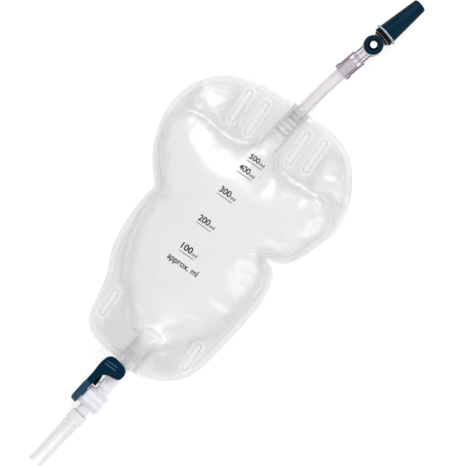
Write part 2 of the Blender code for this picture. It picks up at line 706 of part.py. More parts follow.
def make_inlet_tube(mat):
    start = Vector((INLET_AT[0], INLET_AT[1] + GAP - TUBE_IN, SEAM_Z))
    end = CONNECTOR_START + CONNECTOR_AXIS * TUBE_IN
    pull = (end - start).length
    stations = 6
    bm = bmesh.new()
    rings = []
    for radius in (TUBE_R, TUBE_BORE_R):
        for i in range(stations + 1):
            t = i / stations
            a, b = Vector((0, 1, 0)) * pull, CONNECTOR_AXIS * pull
            point = (
                (2 * t**3 - 3 * t**2 + 1) * start + (t**3 - 2 * t**2 + t) * a
                + (3 * t**2 - 2 * t**3) * end + (t**3 - t**2) * b
            )
            heading = (
                (6 * t**2 - 6 * t) * start + (3 * t**2 - 4 * t + 1) * a + (6 * t - 6 * t**2) * end
                + (3 * t**2 - 2 * t) * b
            ).normalized()
            side = heading.cross(Vector((0, 0, 1)))
            ring = []
            for k in range(SMALL_TURNS):
                angle = math.tau * k / SMALL_TURNS
                offset = (side * math.cos(angle) + Vector((0, 0, 1)) * math.sin(angle)) * radius
                ring.append(bm.verts.new(point + offset))
            rings.append(ring)
    outer, inner = rings[: stations + 1], rings[stations + 1 :][::-1]
    loop = outer + inner
    for ring, following in zip(loop, loop[1:] + loop[:1]):
        for k in range(SMALL_TURNS):
            j = (k + 1) % SMALL_TURNS
            bm.faces.new((ring[k], ring[j], following[j], following[k]))
    bmesh.ops.recalc_face_normals(bm, faces=bm.faces)
    add_object("inlet_tube", bm, mat)


def make_connector(mat):
    socket = TUBE_R + GAP
    stop = TUBE_IN + GAP
    step_end = SOCKET_L + STEP_RING_L
    nozzle_at = FLANGE_AT + FLANGE_T
    profile = [
        (socket, 0), (SOCKET_FLANGE_R, 0), (SOCKET_FLANGE_R, SOCKET_FLANGE_L), (SOCKET_R, SOCKET_FLANGE_L),
        (SOCKET_R, SOCKET_L), (STEP_RING_R, SOCKET_L), (STEP_RING_R, step_end), (NECK_R, step_end),
        (NECK_R, NECK_END), (RUN_R, NECK_END + 1), (RUN_R, FLANGE_AT), (FLANGE_R, FLANGE_AT),
        (FLANGE_R, nozzle_at), (NOZZLE_BASE_R, nozzle_at), (NOZZLE_TIP_R, nozzle_at + NOZZLE_L),
        (LUMEN_R, nozzle_at + NOZZLE_L), (LUMEN_R, stop), (socket, stop),
    ]
    body = add_object("connector_body", turned(profile, TURNS, closed=True), mat, connector_matrix())
    port = connector_matrix(PORT_AT, up=True)
    boss = add_object("boss_shape", rod(BOSS_R, BOSS_LOW, BOSS_TOP, TURNS), mat, port, cutter=True)
    lumen_from, lumen_to = NECK_END - 2, FLANGE_AT
    lumen = add_object(
        "lumen_cut", rod(LUMEN_R, lumen_from, lumen_to, TURNS), mat, connector_matrix(), cutter=True
    )
    bore = rod(PORT_BORE_R, 0, BOSS_TOP + 5, SMALL_TURNS)
    pocket = add_object("pocket_cut", bore, mat, port, cutter=True)
    boolean(body, "UNION", boss)
    boolean(body, "DIFFERENCE", lumen)
    boolean(body, "DIFFERENCE", pocket)


def make_sample_port(ring_mat, septum_mat):
    port = connector_matrix(PORT_AT, up=True)
    low = BOSS_TOP + GAP
    ring = [
        (PORT_BORE_R, low), (PORT_RING_R, low), (PORT_RING_R, PORT_RING_TOP - 1.2),
        (PORT_RING_R - 1.0, PORT_RING_TOP), (PORT_BORE_R + 0.7, PORT_RING_TOP),
        (PORT_BORE_R, PORT_RING_TOP - 0.6),
    ]
    add_object("sample_port_ring", turned(ring, TURNS, closed=True), ring_mat, port)
    plunger = [
        (0, SEPTUM_LOW), (SEPTUM_BASE_R, SEPTUM_LOW), (SEPTUM_BASE_R, SEPTUM_STEP),
        (SEPTUM_R, SEPTUM_STEP), (SEPTUM_R, SEPTUM_TOP - 0.3), (SEPTUM_R - 0.4, SEPTUM_TOP),
        (0, SEPTUM_TOP),
    ]
    add_object("septum", turned(plunger, SMALL_TURNS, closed=False), septum_mat, port)


def make_grip_sleeve(mat):
    bore = RUN_R + GAP
    low, high = SLEEVE_AT, FLANGE_AT - GAP
    wide = [(SLEEVE_WIDE_R, SLEEVE_STEP_AT), (SLEEVE_WIDE_R, high - 0.4), (SLEEVE_WIDE_R - 0.4, high)]
    profile = [(bore, low), (SLEEVE_NARROW_R, low), (SLEEVE_NARROW_R, SLEEVE_STEP_AT - 0.3)]
    profile += [(bore + 0.35, SLEEVE_STEP_AT - 0.3), (bore + 0.35, SLEEVE_STEP_AT)] + wide + [(bore, high)]
    add_object("grip_sleeve", turned(profile, TURNS, closed=True), mat, connector_matrix())


def make_cap(mat):
    base = FLANGE_AT + FLANGE_T + GAP
    tip = base + CAP_L
    inner_base, inner_tip = CAP_BASE_R - CAP_WALL, CAP_TIP_R - CAP_WALL
    grip = NOZZLE_BASE_R + GAP
    round_r = 1.2
    profile = [(0, tip), (CAP_TIP_R - round_r, tip), (CAP_TIP_R - 0.35 * round_r, tip - 0.3 * round_r)]
    profile += [(CAP_TIP_R, tip - round_r), (CAP_BASE_R, base + 0.5), (CAP_BASE_R - 0.3, base)]
    profile += [(grip, base), (grip, base + CAP_GRIP_L), (inner_base - 0.5, base + CAP_GRIP_L + 1)]
    profile += [(inner_tip, tip - CAP_WALL - 1), (0, tip - CAP_WALL)]
    add_object("protective_cap", turned(profile, TURNS, closed=False), mat, connector_matrix())


# Tap


TAP_AT = Vector((OUTLET_AT[0], OUTLET_AT[1] - TAP_DOWN, SEAM_Z))
AT_TAP = Matrix.Translation(TAP_AT)
NECK_TOP = TAP_DOWN - 2 * GAP  # the port's end is one gap below the bag's mouth


def make_tap_body(mat):
    chamfer = BARREL_CHAMFER
    barrel = [
        (0, BARREL_LEFT), (BARREL_R - chamfer, BARREL_LEFT), (BARREL_R, BARREL_LEFT + chamfer),
        (BARREL_R, BARREL_RIGHT), (0, BARREL_RIGHT),
    ]
    body = add_object("tap_body", turned(barrel, TURNS, closed=False), mat, AT_TAP @ SIDEWAYS)
    rib_end = THROAT_END + NECK_RIB_L
    nozzle_end = -OUTLET_NOZZLE_L
    barb_end = nozzle_end - BARB_L
    stem = [
        (0, barb_end), (BARB_STEM_R - 0.3, barb_end), (BARB_R, barb_end + 3.8),
        (BARB_STEM_R, barb_end + 4.2), (BARB_STEM_R, nozzle_end), (NOZZLE_R, nozzle_end),
        (NOZZLE_R, -1), (THROAT_R, 1),
        (THROAT_R, THROAT_END), (NECK_RIB_R, THROAT_END + 0.5), (NECK_RIB_R, rib_end - 0.5),
        (TAP_NECK_R, rib_end), (TAP_NECK_R, NECK_TOP), (SPIGOT_R, NECK_TOP),
        (SPIGOT_R, NECK_TOP + SPIGOT_L - 1),
        (SPIGOT_R - 0.5, NECK_TOP + SPIGOT_L), (0, NECK_TOP + SPIGOT_L),
    ]
    along_stem = AT_TAP @ LENGTHWISE
    neck = add_object("stem_shape", turned(stem, SMALL_TURNS, closed=False), mat, along_stem, cutter=True)
    way = rod(FLOW_R, barb_end - 1, NECK_TOP + SPIGOT_L + 1, SMALL_TURNS)
    flow = add_object("flow_cut", way, mat, along_stem, cutter=True)
    bore = rod(BARREL_BORE_R, BARREL_LEFT - 1, BARREL_RIGHT + 1, TURNS)
    cross = add_object("barrel_cut", bore, mat, AT_TAP @ SIDEWAYS, cutter=True)
    boolean(body, "UNION", neck)
    boolean(body, "DIFFERENCE", flow)
    boolean(body, "DIFFERENCE", cross)


PLUG_R = BARREL_BORE_R - GAP
PLUG_LEFT = BARREL_LEFT + GAP
PLUG_RIGHT = BARREL_RIGHT - END_CAP_SPIGOT_L - GAP


def make_plug(mat):
    """At rest its hole lies across the flow, and turning by the lever's travel brings it in line."""
    plug = add_object("tap_plug", rod(PLUG_R, PLUG_LEFT, PLUG_RIGHT, TURNS), mat, AT_TAP @ SIDEWAYS)
    half = DRIVE_W / 2
    square = [(-half, -half), (half, -half), (half, half), (-half, half)]
    stub = prism(square, PLUG_LEFT - DRIVE_L, PLUG_LEFT + 1)
    drive = add_object("drive_shape", stub, mat, AT_TAP @ SIDEWAYS, cutter=True)
    closed = Matrix.Rotation(-LEVER_TRAVEL, 4, "X")
    way = rod(FLOW_R, -PLUG_R - 1, PLUG_R + 1, SMALL_TURNS)
    flow = add_object("plug_flow_cut", way, mat, AT_TAP @ closed @ LENGTHWISE, cutter=True)
    boolean(plug, "UNION", drive)
    boolean(plug, "DIFFERENCE", flow)


def make_end_cap(mat):
    face = BARREL_RIGHT + GAP
    spigot = BARREL_BORE_R - GAP
    profile = [
        (0, BARREL_RIGHT - END_CAP_SPIGOT_L), (spigot, BARREL_RIGHT - END_CAP_SPIGOT_L), (spigot, face),
        (BARREL_R, face), (BARREL_R, face + END_CAP_T * 0.4), (BARREL_R - 0.5, face + END_CAP_T * 0.8),
        (BARREL_R - 1.4, face + END_CAP_T), (0, face + END_CAP_T),
    ]
    add_object("barrel_end_cap", turned(profile, TURNS, closed=False), mat, AT_TAP @ SIDEWAYS)


def make_lever(mat):
    hub_right = BARREL_LEFT - GAP
    hub_left = hub_right - HUB_T
    lip_in = BARREL_R + GAP
    hub_profile = [
        (0, hub_left), (HUB_R - 1.0, hub_left), (HUB_R, hub_left + 1.0), (HUB_R, hub_right + HUB_LIP),
        (lip_in, hub_right + HUB_LIP), (lip_in, hub_right), (0, hub_right),
    ]
    lever = add_object("tap_lever", turned(hub_profile, TURNS, closed=False), mat, AT_TAP @ SIDEWAYS)

    # The arm, a plate beside the barrel, drawn from the side with Y to the right and Z up
    tip = PADDLE_FAR
    side_view = arc(0, 0, HUB_R - 0.15, 95, 250, 7) + arc(0, 0, HUB_R - 0.15, 290, 340, 3)
    side_view += [(15.0, ARM_LOW - 2.6), (tip - 8, ARM_LOW), (tip - 1.2, ARM_LOW + 1.2)]
    side_view += [(tip, ARM_LOW + 2.6), (tip, ARM_TOP - 1.4), (tip - 1.4, ARM_TOP)]
    upright = Matrix(((0, 0, 1, 0), (1, 0, 0, 0), (0, 1, 0, 0), (0, 0, 0, 1)))
    plate = prism(side_view, hub_left + 0.02, hub_right - 0.02)
    arm = add_object("arm_shape", plate, mat, AT_TAP @ upright, cutter=True)

    # The paddle, seen from above, with its hollow turn into the arm
    left, right, near, far, corner = hub_left + 0.2, PADDLE_RIGHT, PADDLE_NEAR, PADDLE_FAR, PADDLE_CORNER
    top_view = [(left, far - 2.4), (left + 2.4, far)] + arc(right - corner, far - corner, corner, 90, 0, 4)
    top_view += arc(right - 2.0, near + 2.0, 2.0, 0, -90, 3) + arc(-2.6, near - 5.4, 5.4, 90, 180, 4)
    top_view += [(left, near - 5.4)]
    blade = prism(top_view, ARM_TOP - PADDLE_T, ARM_TOP - 0.04)
    paddle = add_object("paddle_shape", blade, mat, AT_TAP, cutter=True)

    # A web under the hollow, and two lines raised on the paddle for the thumb
    web_x = hub_right + 1.9
    web_view = [(hub_right - 1, near - 1), (web_x, near - 2.4), (web_x - 0.4, 13), (hub_right - 1, 8.9)]
    rib = prism(web_view, ARM_LOW - 3, ARM_TOP - PADDLE_T + 1)
    web = add_object("web_shape", rib, mat, AT_TAP, cutter=True)
    boolean(lever, "UNION", arm)
    boolean(lever, "UNION", paddle)
    boolean(lever, "UNION", web)
    for i in range(GRIP_LINES):
        y = far - 4.4 - 2.8 * i
        line = [(left + 2, y - 0.35), (-2.4, y - 0.1), (-2.4, y + 0.6), (left + 2, y + 0.35)]
        rise = prism(line, ARM_TOP - 0.6, ARM_TOP + GRIP_H)
        boolean(lever, "UNION", add_object(f"grip_shape_{i + 1}", rise, mat, AT_TAP, cutter=True))

    half = DRIVE_W / 2 + GAP
    square = [(-half, -half), (half, -half), (half, half), (-half, half)]
    socket = prism(square, PLUG_LEFT - DRIVE_L - GAP, hub_right + 1)
    boolean(lever, "DIFFERENCE", add_object("drive_cut", socket, mat, AT_TAP @ SIDEWAYS, cutter=True))


def make_outlet_tube(mat):
    top = -OUTLET_NOZZLE_L - GAP
    collar_end = top - OUT_COLLAR_L
    mid_end = collar_end - OUT_MID_L
    low = top - OUT_TUBE_L
    profile = [
        (OUT_TUBE_BORE_R, low), (OUT_TUBE_R, low), (OUT_TUBE_R, mid_end - 0.6), (OUT_MID_R, mid_end),
        (OUT_MID_R, collar_end - 0.8), (OUT_COLLAR_R + 0.15, collar_end), (OUT_COLLAR_R, collar_end + 1.2),
        (OUT_COLLAR_R, top - 0.4), (OUT_COLLAR_R - 0.4, top), (OUT_TUBE_BORE_R, top),
    ]
    add_object("outlet_tube", turned(profile, TURNS, closed=True), mat, AT_TAP @ LENGTHWISE)


def main():
    start_empty()
    film = plastic("clear_film", (0.86, 0.86, 0.87), 0.12, clear=0.8)
    ribbed_clear = plastic("clear_port", (0.80, 0.80, 0.82), 0.25, clear=0.5)
    tube = plastic("soft_tube", (0.82, 0.80, 0.80), 0.30, clear=0.5)
    lilac = plastic("clear_connector", (0.80, 0.74, 0.81), 0.10, clear=0.7)
    navy = plastic("navy", (0.004, 0.021, 0.048), 0.30)
    dark = plastic("dark_grip", (0.004, 0.008, 0.014), 0.35)
    white = plastic("white_rubber", (0.86, 0.85, 0.83), 0.55)
    milky = plastic("milky_tap", (0.80, 0.78, 0.84), 0.25, clear=0.3)
    make_films(film)
    make_flap("valve_front_flap", 1, film)
    make_flap("valve_back_flap", -1, film)
    make_inlet_port(ribbed_clear)
    make_inlet_tube(tube)
    make_connector(lilac)
    make_sample_port(navy, white)
    make_grip_sleeve(dark)
    make_cap(navy)
    make_outlet_port(ribbed_clear)
    make_tap_body(milky)
    make_plug(white)
    make_end_cap(milky)
    make_lever(navy)
    make_outlet_tube(tube)


main()
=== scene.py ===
"""The looks of a 500 ml leg bag for urine drainage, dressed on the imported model.

The bag lies on its back on a pale table and the camera looks straight down on it. All lengths are
in metres, +Z is up out of the bag's front, and +Y runs from the tap to the inlet.
"""
import math

import bmesh
import bpy
from mathutils import Matrix, Vector
from mathutils.kdtree import KDTree


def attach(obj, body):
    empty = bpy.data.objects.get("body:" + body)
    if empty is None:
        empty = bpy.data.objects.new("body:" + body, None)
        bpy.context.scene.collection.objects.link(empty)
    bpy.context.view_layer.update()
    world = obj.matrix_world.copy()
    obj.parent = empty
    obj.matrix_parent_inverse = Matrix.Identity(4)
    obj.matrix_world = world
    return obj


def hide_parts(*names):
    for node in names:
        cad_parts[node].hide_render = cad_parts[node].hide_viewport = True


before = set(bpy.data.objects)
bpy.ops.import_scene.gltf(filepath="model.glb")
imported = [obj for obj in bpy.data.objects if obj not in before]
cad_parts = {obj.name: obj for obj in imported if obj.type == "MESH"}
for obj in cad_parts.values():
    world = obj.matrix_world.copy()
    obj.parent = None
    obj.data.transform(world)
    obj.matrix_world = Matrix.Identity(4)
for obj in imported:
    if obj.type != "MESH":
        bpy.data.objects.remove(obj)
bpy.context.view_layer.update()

# Camera: it looks straight down, turned so that the connector points to the upper right and the
# tap to the lower left.
FRAME_WIDTH = 0.3276
LENS, SENSOR = 135.0, 36.0
AIM = Vector((0.0100, 0.0110, 0.0150))
bpy.ops.object.camera_add(
    location=AIM + Vector((0, 0, FRAME_WIDTH * LENS / SENSOR)), rotation=(0, 0, math.radians(43))
)
camera = bpy.context.object
camera.data.lens = LENS
camera.data.sensor_width = SENSOR
camera.data.clip_start = 0.05
bpy.context.scene.camera = camera

# Table: a white sheet without an edge in view. It shows its own colour to the camera and in
# reflections, and keeps a faint shadow of the bag.
TABLE_SIZE, TABLE_DROP = 4.0, 0.0002
PAPER_GLOW = 0.72  # share of its own white in what the camera sees of the table


def reckon(tree, operation, *values):
    """The result of a Math node. Each value is a number or another node's output."""
    node = tree.nodes.new("ShaderNodeMath")
    node.operation = operation
    for socket, value in zip(node.inputs, values):
        if isinstance(value, bpy.types.NodeSocket):
            tree.links.new(value, socket)
        else:
            socket.default_value = value
    return node.outputs[0]


bpy.ops.mesh.primitive_plane_add(size=TABLE_SIZE, location=(0, 0, -TABLE_DROP))
table = bpy.context.object
table.name = "table"
paper = bpy.data.materials.new("white_table")
paper.use_nodes = True
nodes, links = paper.node_tree.nodes, paper.node_tree.links
nodes.clear()
rays = nodes.new("ShaderNodeLightPath")
seen = reckon(paper.node_tree, "MAXIMUM", rays.outputs["Is Camera Ray"], rays.outputs["Is Glossy Ray"])
seen = reckon(paper.node_tree, "MAXIMUM", seen, rays.outputs["Is Transmission Ray"])
share = reckon(paper.node_tree, "MULTIPLY", seen, PAPER_GLOW)
lit = nodes.new("ShaderNodeBsdfDiffuse")
lit.inputs["Color"].default_value = (0.96, 0.96, 0.965, 1)
white = nodes.new("ShaderNodeEmission")
white.inputs["Color"].default_value = (1, 1, 1, 1)
white.inputs["Strength"].default_value = 1.05
mixed = nodes.new("ShaderNodeMixShader")
links.new(share, mixed.inputs["Fac"])
links.new(lit.outputs[0], mixed.inputs[1])
links.new(white.outputs[0], mixed.inputs[2])
surface = nodes.new("ShaderNodeOutputMaterial")
links.new(mixed.outputs[0], surface.inputs["Surface"])
table.data.materials.append(paper)

# Light: a pale room that glossy plastic sees as white, a wide soft box beyond the bag's top end and
# two smaller ones at its foot and side.
world = bpy.data.worlds.new("studio")
world.use_nodes = True
nodes, links = world.node_tree.nodes, world.node_tree.links
room = nodes["Background"]
room.inputs["Color"].default_value = (0.80, 0.81, 0.83, 1)
room.inputs["Strength"].default_value = 0.66
white_room = nodes.new("ShaderNodeBackground")
white_room.inputs["Color"].default_value = (0.97, 0.97, 0.98, 1)
white_room.inputs["Strength"].default_value = 0.92
rays = nodes.new("ShaderNodeLightPath")
seen = reckon(world.node_tree, "MAXIMUM", rays.outputs["Is Camera Ray"], rays.outputs["Is Glossy Ray"])
which = nodes.new("ShaderNodeMixShader")
links.new(seen, which.inputs["Fac"])
links.new(room.outputs[0], which.inputs[1])
links.new(white_room.outputs[0], which.inputs[2])
links.new(which.outputs[0], nodes["World Output"].inputs["Surface"])
bpy.context.scene.world = world
SOFT_BOXES = [  # name, place, size, watts
    ("top_box", (-0.35, 0.75, 0.85), 0.7, 11.0),
    ("foot_box", (0.25, -0.70, 0.75), 0.5, 4.5),
    ("side_box", (0.80, 0.20, 0.60), 0.4, 2.5),
]
for name, place, size, power in SOFT_BOXES:
    bpy.ops.object.light_add(type="AREA", location=place)
    box = bpy.context.object
    box.name = name
    box.data.shape = "SQUARE"
    box.data.size = size
    box.data.energy = power
    box.rotation_euler = (Vector((0, 0, 0.01)) - Vector(place)).to_track_quat("-Z", "Y").to_euler()
bpy.context.scene.view_settings.view_transform = "Standard"
bpy.context.scene.cycles.transparent_max_bounces = 24  # a look through the bag crosses many walls

# Films: two sheets of soft clear film, welded to each other round the rim and the strap slots and
# to both ports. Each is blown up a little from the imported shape, so that it stretches smoothly in
# the middle and puckers along its welds, and it is as thick as real film.
MM = 0.001
SEAM_Z, SEAM_GAP = 0.0110, 0.0003  # height of the seam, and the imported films' gap there
SEAM_DROOP, DROOP_FROM, DROOP_POWER = 0.0025, 0.25, 1.6
BAG_W, BAG_L, BAG_LOW = 0.147, 0.216, -0.1084  # width, length, and where its lower end lies
MIDDLE_X, MIDDLE_SHIFT = 0.0168, -0.0310  # the bag's middle line at its foot, and its lean to the top
MOULDED_FILM_T, FILM_T = 0.0004, 0.00025
WELD_GAP, PORT_GAP = 0.00115, 0.0016  # films nearer than this to each other, or to a port, are welded
MERGE = 1e-6  # points nearer than this are one
EDGE_ON = 0.02  # a face that turns outwards less than this isn't part of a film's outer side
SLACK = 0.012  # share by which the film is longer than its flat plan
BLOW_STEPS = 34
IRON_STEPS = 4  # rounds of smoothing, which take out the smallest puckers
TABLE_GAP = 0.0001
SLOT_W, SLOT_TURN = 3.6, math.radians(8.6)
SLOTS = [  # middle and length of each strap slot, in mm
    (-47.8, 80.0, 27.0), (-33.8, 81.2, 27.0), (2.1, 85.4, 27.0), (14.5, 89.8, 27.0),
    (-21.5, -84.0, 21.0), (47.3, -72.8, 21.0),
]


def pick(piece):
    """Selects a piece alone and makes it the active one."""
    bpy.ops.object.select_all(action="DESELECT")
    piece.select_set(True)
    bpy.context.view_layer.objects.active = piece


def begin_edit(piece):
    pick(piece)
    bpy.ops.object.mode_set(mode="EDIT")
    bpy.ops.mesh.select_all(action="SELECT")


def end_edit():
    bpy.ops.object.mode_set(mode="OBJECT")


def delete_faces(piece, chosen):
    """Deletes the faces that a test picks."""
    bpy.context.tool_settings.mesh_select_mode = (False, False, True)
    begin_edit(piece)
    bpy.ops.mesh.select_all(action="DESELECT")
    end_edit()
    for face in piece.data.polygons:
        face.select = chosen(face)
    bpy.ops.object.mode_set(mode="EDIT")
    bpy.ops.mesh.delete(type="FACE")
    end_edit()


def apply_modifiers(piece):
    pick(piece)
    for modifier in list(piece.modifiers):
        bpy.ops.object.modifier_apply(modifier=modifier.name)


def merged_copy(node_name, piece_name):
    """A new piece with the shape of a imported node, its loose triangles joined."""
    piece = bpy.data.objects.new(piece_name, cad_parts[node_name].data.copy())
    bpy.context.scene.collection.objects.link(piece)
    piece.data.materials.clear()
    begin_edit(piece)
    bpy.ops.mesh.remove_doubles(threshold=MERGE)
    end_edit()
    return piece


def seam_height(x, y):
    """Where the two films meet: a little lower at the bag's sides than at its ports."""
    along = (y - BAG_LOW) / BAG_L
    side = abs(x - (MIDDLE_X + MIDDLE_SHIFT * along)) / (BAG_W / 2)
    return SEAM_Z - SEAM_DROOP * max(0.0, (side - DROOP_FROM) / (1 - DROOP_FROM)) ** DROOP_POWER


def distance_to(node_name, point):
    return (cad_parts[node_name].closest_point_on_mesh(point)[1] - point).length


def film_sheet(node_name, other_name, piece_name, facing, flatter, pressure):
    """A packed film's outer side, blown up. facing is 1 for the front film and -1 for the back one,
    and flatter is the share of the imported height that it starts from."""
    sheet = merged_copy(node_name, piece_name)
    delete_faces(sheet, lambda face: face.normal.z * facing < EDGE_ON)
    welded = sheet.vertex_groups.new(name="weld")
    for vertex in sheet.data.vertices:
        seam = seam_height(vertex.co.x, vertex.co.y) + facing * (SEAM_GAP / 2 + MOULDED_FILM_T)
        rise = (vertex.co.z - seam) * facing
        on_port = min(distance_to(port, vertex.co) for port in ("inlet_port", "outlet_port")) < PORT_GAP
        if on_port or distance_to(other_name, vertex.co) < WELD_GAP:
            welded.add([vertex.index], 1.0, "REPLACE")
        if not on_port:
            vertex.co.z = seam + facing * rise * flatter
    smooth = sheet.modifiers.new("smooth", "SUBSURF")
    smooth.levels = smooth.render_levels = 2
    smooth.boundary_smooth = "PRESERVE_CORNERS"
    apply_modifiers(sheet)
    cloth = sheet.modifiers.new("blow", "CLOTH")
    film = cloth.settings
    film.quality, film.mass, film.air_damping = 6, 0.1, 4
    film.tension_stiffness = film.compression_stiffness = 20
    film.shear_stiffness, film.bending_stiffness = 8, 1
    film.vertex_group_mass = "weld"
    film.shrink_min = film.shrink_max = -SLACK
    film.use_pressure = True
    film.uniform_pressure_force = pressure
    film.effector_weights.gravity = 0
    cloth.collision_settings.use_collision = False
    cloth.point_cache.frame_start, cloth.point_cache.frame_end = 1, BLOW_STEPS
    for step in range(1, BLOW_STEPS + 1):
        bpy.context.scene.frame_set(step)
    apply_modifiers(sheet)
    ironed = sheet.modifiers.new("ironed", "SMOOTH")
    ironed.factor, ironed.iterations = 0.5, IRON_STEPS
    ironed.vertex_group, ironed.invert_vertex_group = "weld", True
    apply_modifiers(sheet)
    for vertex in sheet.data.vertices:
        vertex.co.z = max(vertex.co.z, TABLE_GAP)
    return sheet


CREASES = [  # where a fold runs, in mm, then how high it stands and how wide it is
    ([(-50, -7), (-46, -24), (-41, -43), (-31, -58), (-21, -72)], 1.1, 1.4),
    ([(-43.6, 80.0), (-40.5, 71.0), (-37.6, 63.6)], 0.8, 1.2),
    ([(-79, 57), (-66, 64), (-54, 65), (-43, 61)], 0.9, 1.4),
    ([(61, -8), (50, -12), (42, -20)], 0.7, 1.5),
    ([(27, 76), (38, 68), (50, 64)], 0.9, 1.3),
    ([(-14, -73), (-16, -84), (-8, -95)], 0.6, 1.5),
    ([(-22, 71.5), (-16.5, 70.5), (-11.4, 68.7)], 0.55, 0.9),
    ([(-11.4, 70.0), (-16, 66.2), (-22, 62.3)], 0.55, 0.9),
    ([(-8.2, 80), (-7.1, 71.4), (-10, 64)], 0.55, 0.9),
]


def fold(sheet):
    """Presses soft creases into a film: narrow ridges that die out at both ends."""
    for path, height, width in CREASES:
        stops = [Vector(p) for p in path]
        lengths = [(b - a).length for a, b in zip(stops, stops[1:])]
        for vertex in sheet.data.vertices:
            place = Vector((vertex.co.x / MM, vertex.co.y / MM))
            best, share, before = 99.0, 0.0, 0.0
            for a, b, length in zip(stops, stops[1:], lengths):
                t = max(0.0, min(1.0, (place - a).dot(b - a) / length ** 2))
                off = (place - a - (b - a) * t).length
                if off < best:
                    best, share = off, (before + t * length) / sum(lengths)
                before += length
            if best < 3 * width:
                rise = height * math.sin(math.pi * share) ** 0.6 * math.exp(-(best / width) ** 2)
                vertex.co.z += rise * MM


def slot_gap(x, y):
    """Distance in mm from a point to the middle line of the nearest strap slot."""
    along = Vector((-math.sin(SLOT_TURN), math.cos(SLOT_TURN)))
    gaps = []
    for slot_x, slot_y, length in SLOTS:
        off = Vector((x - slot_x, y - slot_y))
        half = (length - SLOT_W) / 2
        gaps.append((off - along * max(-half, min(half, off.dot(along)))).length)
    return min(gaps)


def keep_measures(sheet):
    """Writes what the film's finish reads: each point's distance to the film's outline and to the
    slots, and its height over the seam, all in mm."""
    bm = bmesh.new()
    bm.from_mesh(sheet.data)
    places = [v.co / MM for v in bm.verts]
    slot_gaps = [slot_gap(p.x, p.y) for p in places]
    outline = [v.index for v in bm.verts if v.is_boundary and slot_gaps[v.index] > SLOT_W * 0.7]
    bm.free()
    nearest = KDTree(len(outline))
    for i in outline:
        nearest.insert((places[i].x, places[i].y, 0), i)
    nearest.balance()
    measures = {
        "slot_gap": slot_gaps,
        "rim_gap": [nearest.find((p.x, p.y, 0))[2] for p in places],
        "rise": [abs(p.z - seam_height(p.x * MM, p.y * MM) / MM) for p in places],
    }
    for name, values in measures.items():
        sheet.data.attributes.new(name, "FLOAT", "POINT").data.foreach_set("value", values)


def clear_finish(
    name, haze, edge_haze, colour, gloss=0.2, turn_power=1.0, grain_height=0.00006, edge_shade_colour=None,
    shine_share=1.0, outline=None
):
    """Clear glossy plastic: it lets light through, is milkier where it turns away, and shines. With an
    edge_shade_colour its colour gets painted shade where it turns away. outline is the span of turning
    in which that painted dark edge line sets in."""
    material = bpy.data.materials.new(name)
    material.use_nodes = True
    nodes, links = material.node_tree.nodes, material.node_tree.links
    milk = nodes["Principled BSDF"]
    milk.inputs["Base Color"].default_value = colour
    milk.inputs["Roughness"].default_value = 0.35
    where = nodes.new("ShaderNodeTexCoord")
    mottle = nodes.new("ShaderNodeTexNoise")
    mottle.inputs["Scale"].default_value = 900
    mottle.inputs["Detail"].default_value = 3
    links.new(where.outputs["Object"], mottle.inputs["Vector"])
    grain = nodes.new("ShaderNodeBump")
    grain.name = "grain"
    grain.inputs["Strength"].default_value = 0.25
    grain.inputs["Distance"].default_value = grain_height
    links.new(mottle.outputs["Fac"], grain.inputs["Height"])
    turn = nodes.new("ShaderNodeLayerWeight")
    turn.inputs["Blend"].default_value = 0.5
    turned_away = turn.outputs["Facing"]
    if outline:
        line = nodes.new("ShaderNodeMapRange")
        line.interpolation_type = "SMOOTHSTEP"
        line.inputs["From Min"].default_value, line.inputs["From Max"].default_value = outline
        links.new(turned_away, line.inputs["Value"])
        turned_away = line.outputs[0]
    turned_away = reckon(material.node_tree, "POWER", turned_away, turn_power)
    # Painted shade: the colour darkens towards the edge colour where the surface turns away.
    if edge_shade_colour:
        darker = nodes.new("ShaderNodeMix")
        darker.data_type = "RGBA"
        darker.inputs["A"].default_value = colour
        darker.inputs["B"].default_value = edge_shade_colour
        links.new(turned_away, darker.inputs["Factor"])
        links.new(darker.outputs["Result"], milk.inputs["Base Color"])
    amount = nodes.new("ShaderNodeMapRange")
    amount.inputs["To Min"].default_value = haze
    amount.inputs["To Max"].default_value = edge_haze
    links.new(turned_away, amount.inputs["Value"])
    through = nodes.new("ShaderNodeBsdfTransparent")
    milky = nodes.new("ShaderNodeMixShader")
    milky.name = "milky"
    links.new(amount.outputs[0], milky.inputs["Fac"])
    links.new(through.outputs[0], milky.inputs[1])
    links.new(milk.outputs[0], milky.inputs[2])
    shine = nodes.new("ShaderNodeBsdfGlossy")
    shine.inputs["Roughness"].default_value = gloss
    fresnel = nodes.new("ShaderNodeFresnel")
    fresnel.inputs["IOR"].default_value = 1.45
    side = nodes.new("ShaderNodeNewGeometry")
    outside = reckon(material.node_tree, "SUBTRACT", 1, side.outputs["Backfacing"])
    strength = reckon(material.node_tree, "MULTIPLY", fresnel.outputs[0], outside)
    strength = reckon(material.node_tree, "MULTIPLY", strength, shine_share)
    glossy = nodes.new("ShaderNodeMixShader")
    links.new(grain.outputs[0], shine.inputs["Normal"])
    links.new(grain.outputs[0], fresnel.inputs["Normal"])
    links.new(strength, glossy.inputs["Fac"])
    links.new(milky.outputs[0], glossy.inputs[1])
    links.new(shine.outputs[0], glossy.inputs[2])
    links.new(glossy.outputs[0], nodes["Material Output"].inputs["Surface"])
    return material


def attribute_band(material, attribute, middle, half, soft):
    """A socket that is 1 where an attribute is within half of a value, and falls to 0 over soft."""
    nodes, links = material.node_tree.nodes, material.node_tree.links
    value = nodes.new("ShaderNodeAttribute")
    value.attribute_name = attribute
    off = reckon(material.node_tree, "SUBTRACT", value.outputs["Fac"], middle)
    off = reckon(material.node_tree, "ABSOLUTE", off)
    band = nodes.new("ShaderNodeMapRange")
    band.interpolation_type = "SMOOTHSTEP"
    band.inputs["From Min"].default_value = half
    band.inputs["From Max"].default_value = half + soft
    band.inputs["To Min"].default_value = 1
    band.inputs["To Max"].default_value = 0
    links.new(off, band.inputs["Value"])
    return band.outputs[0]


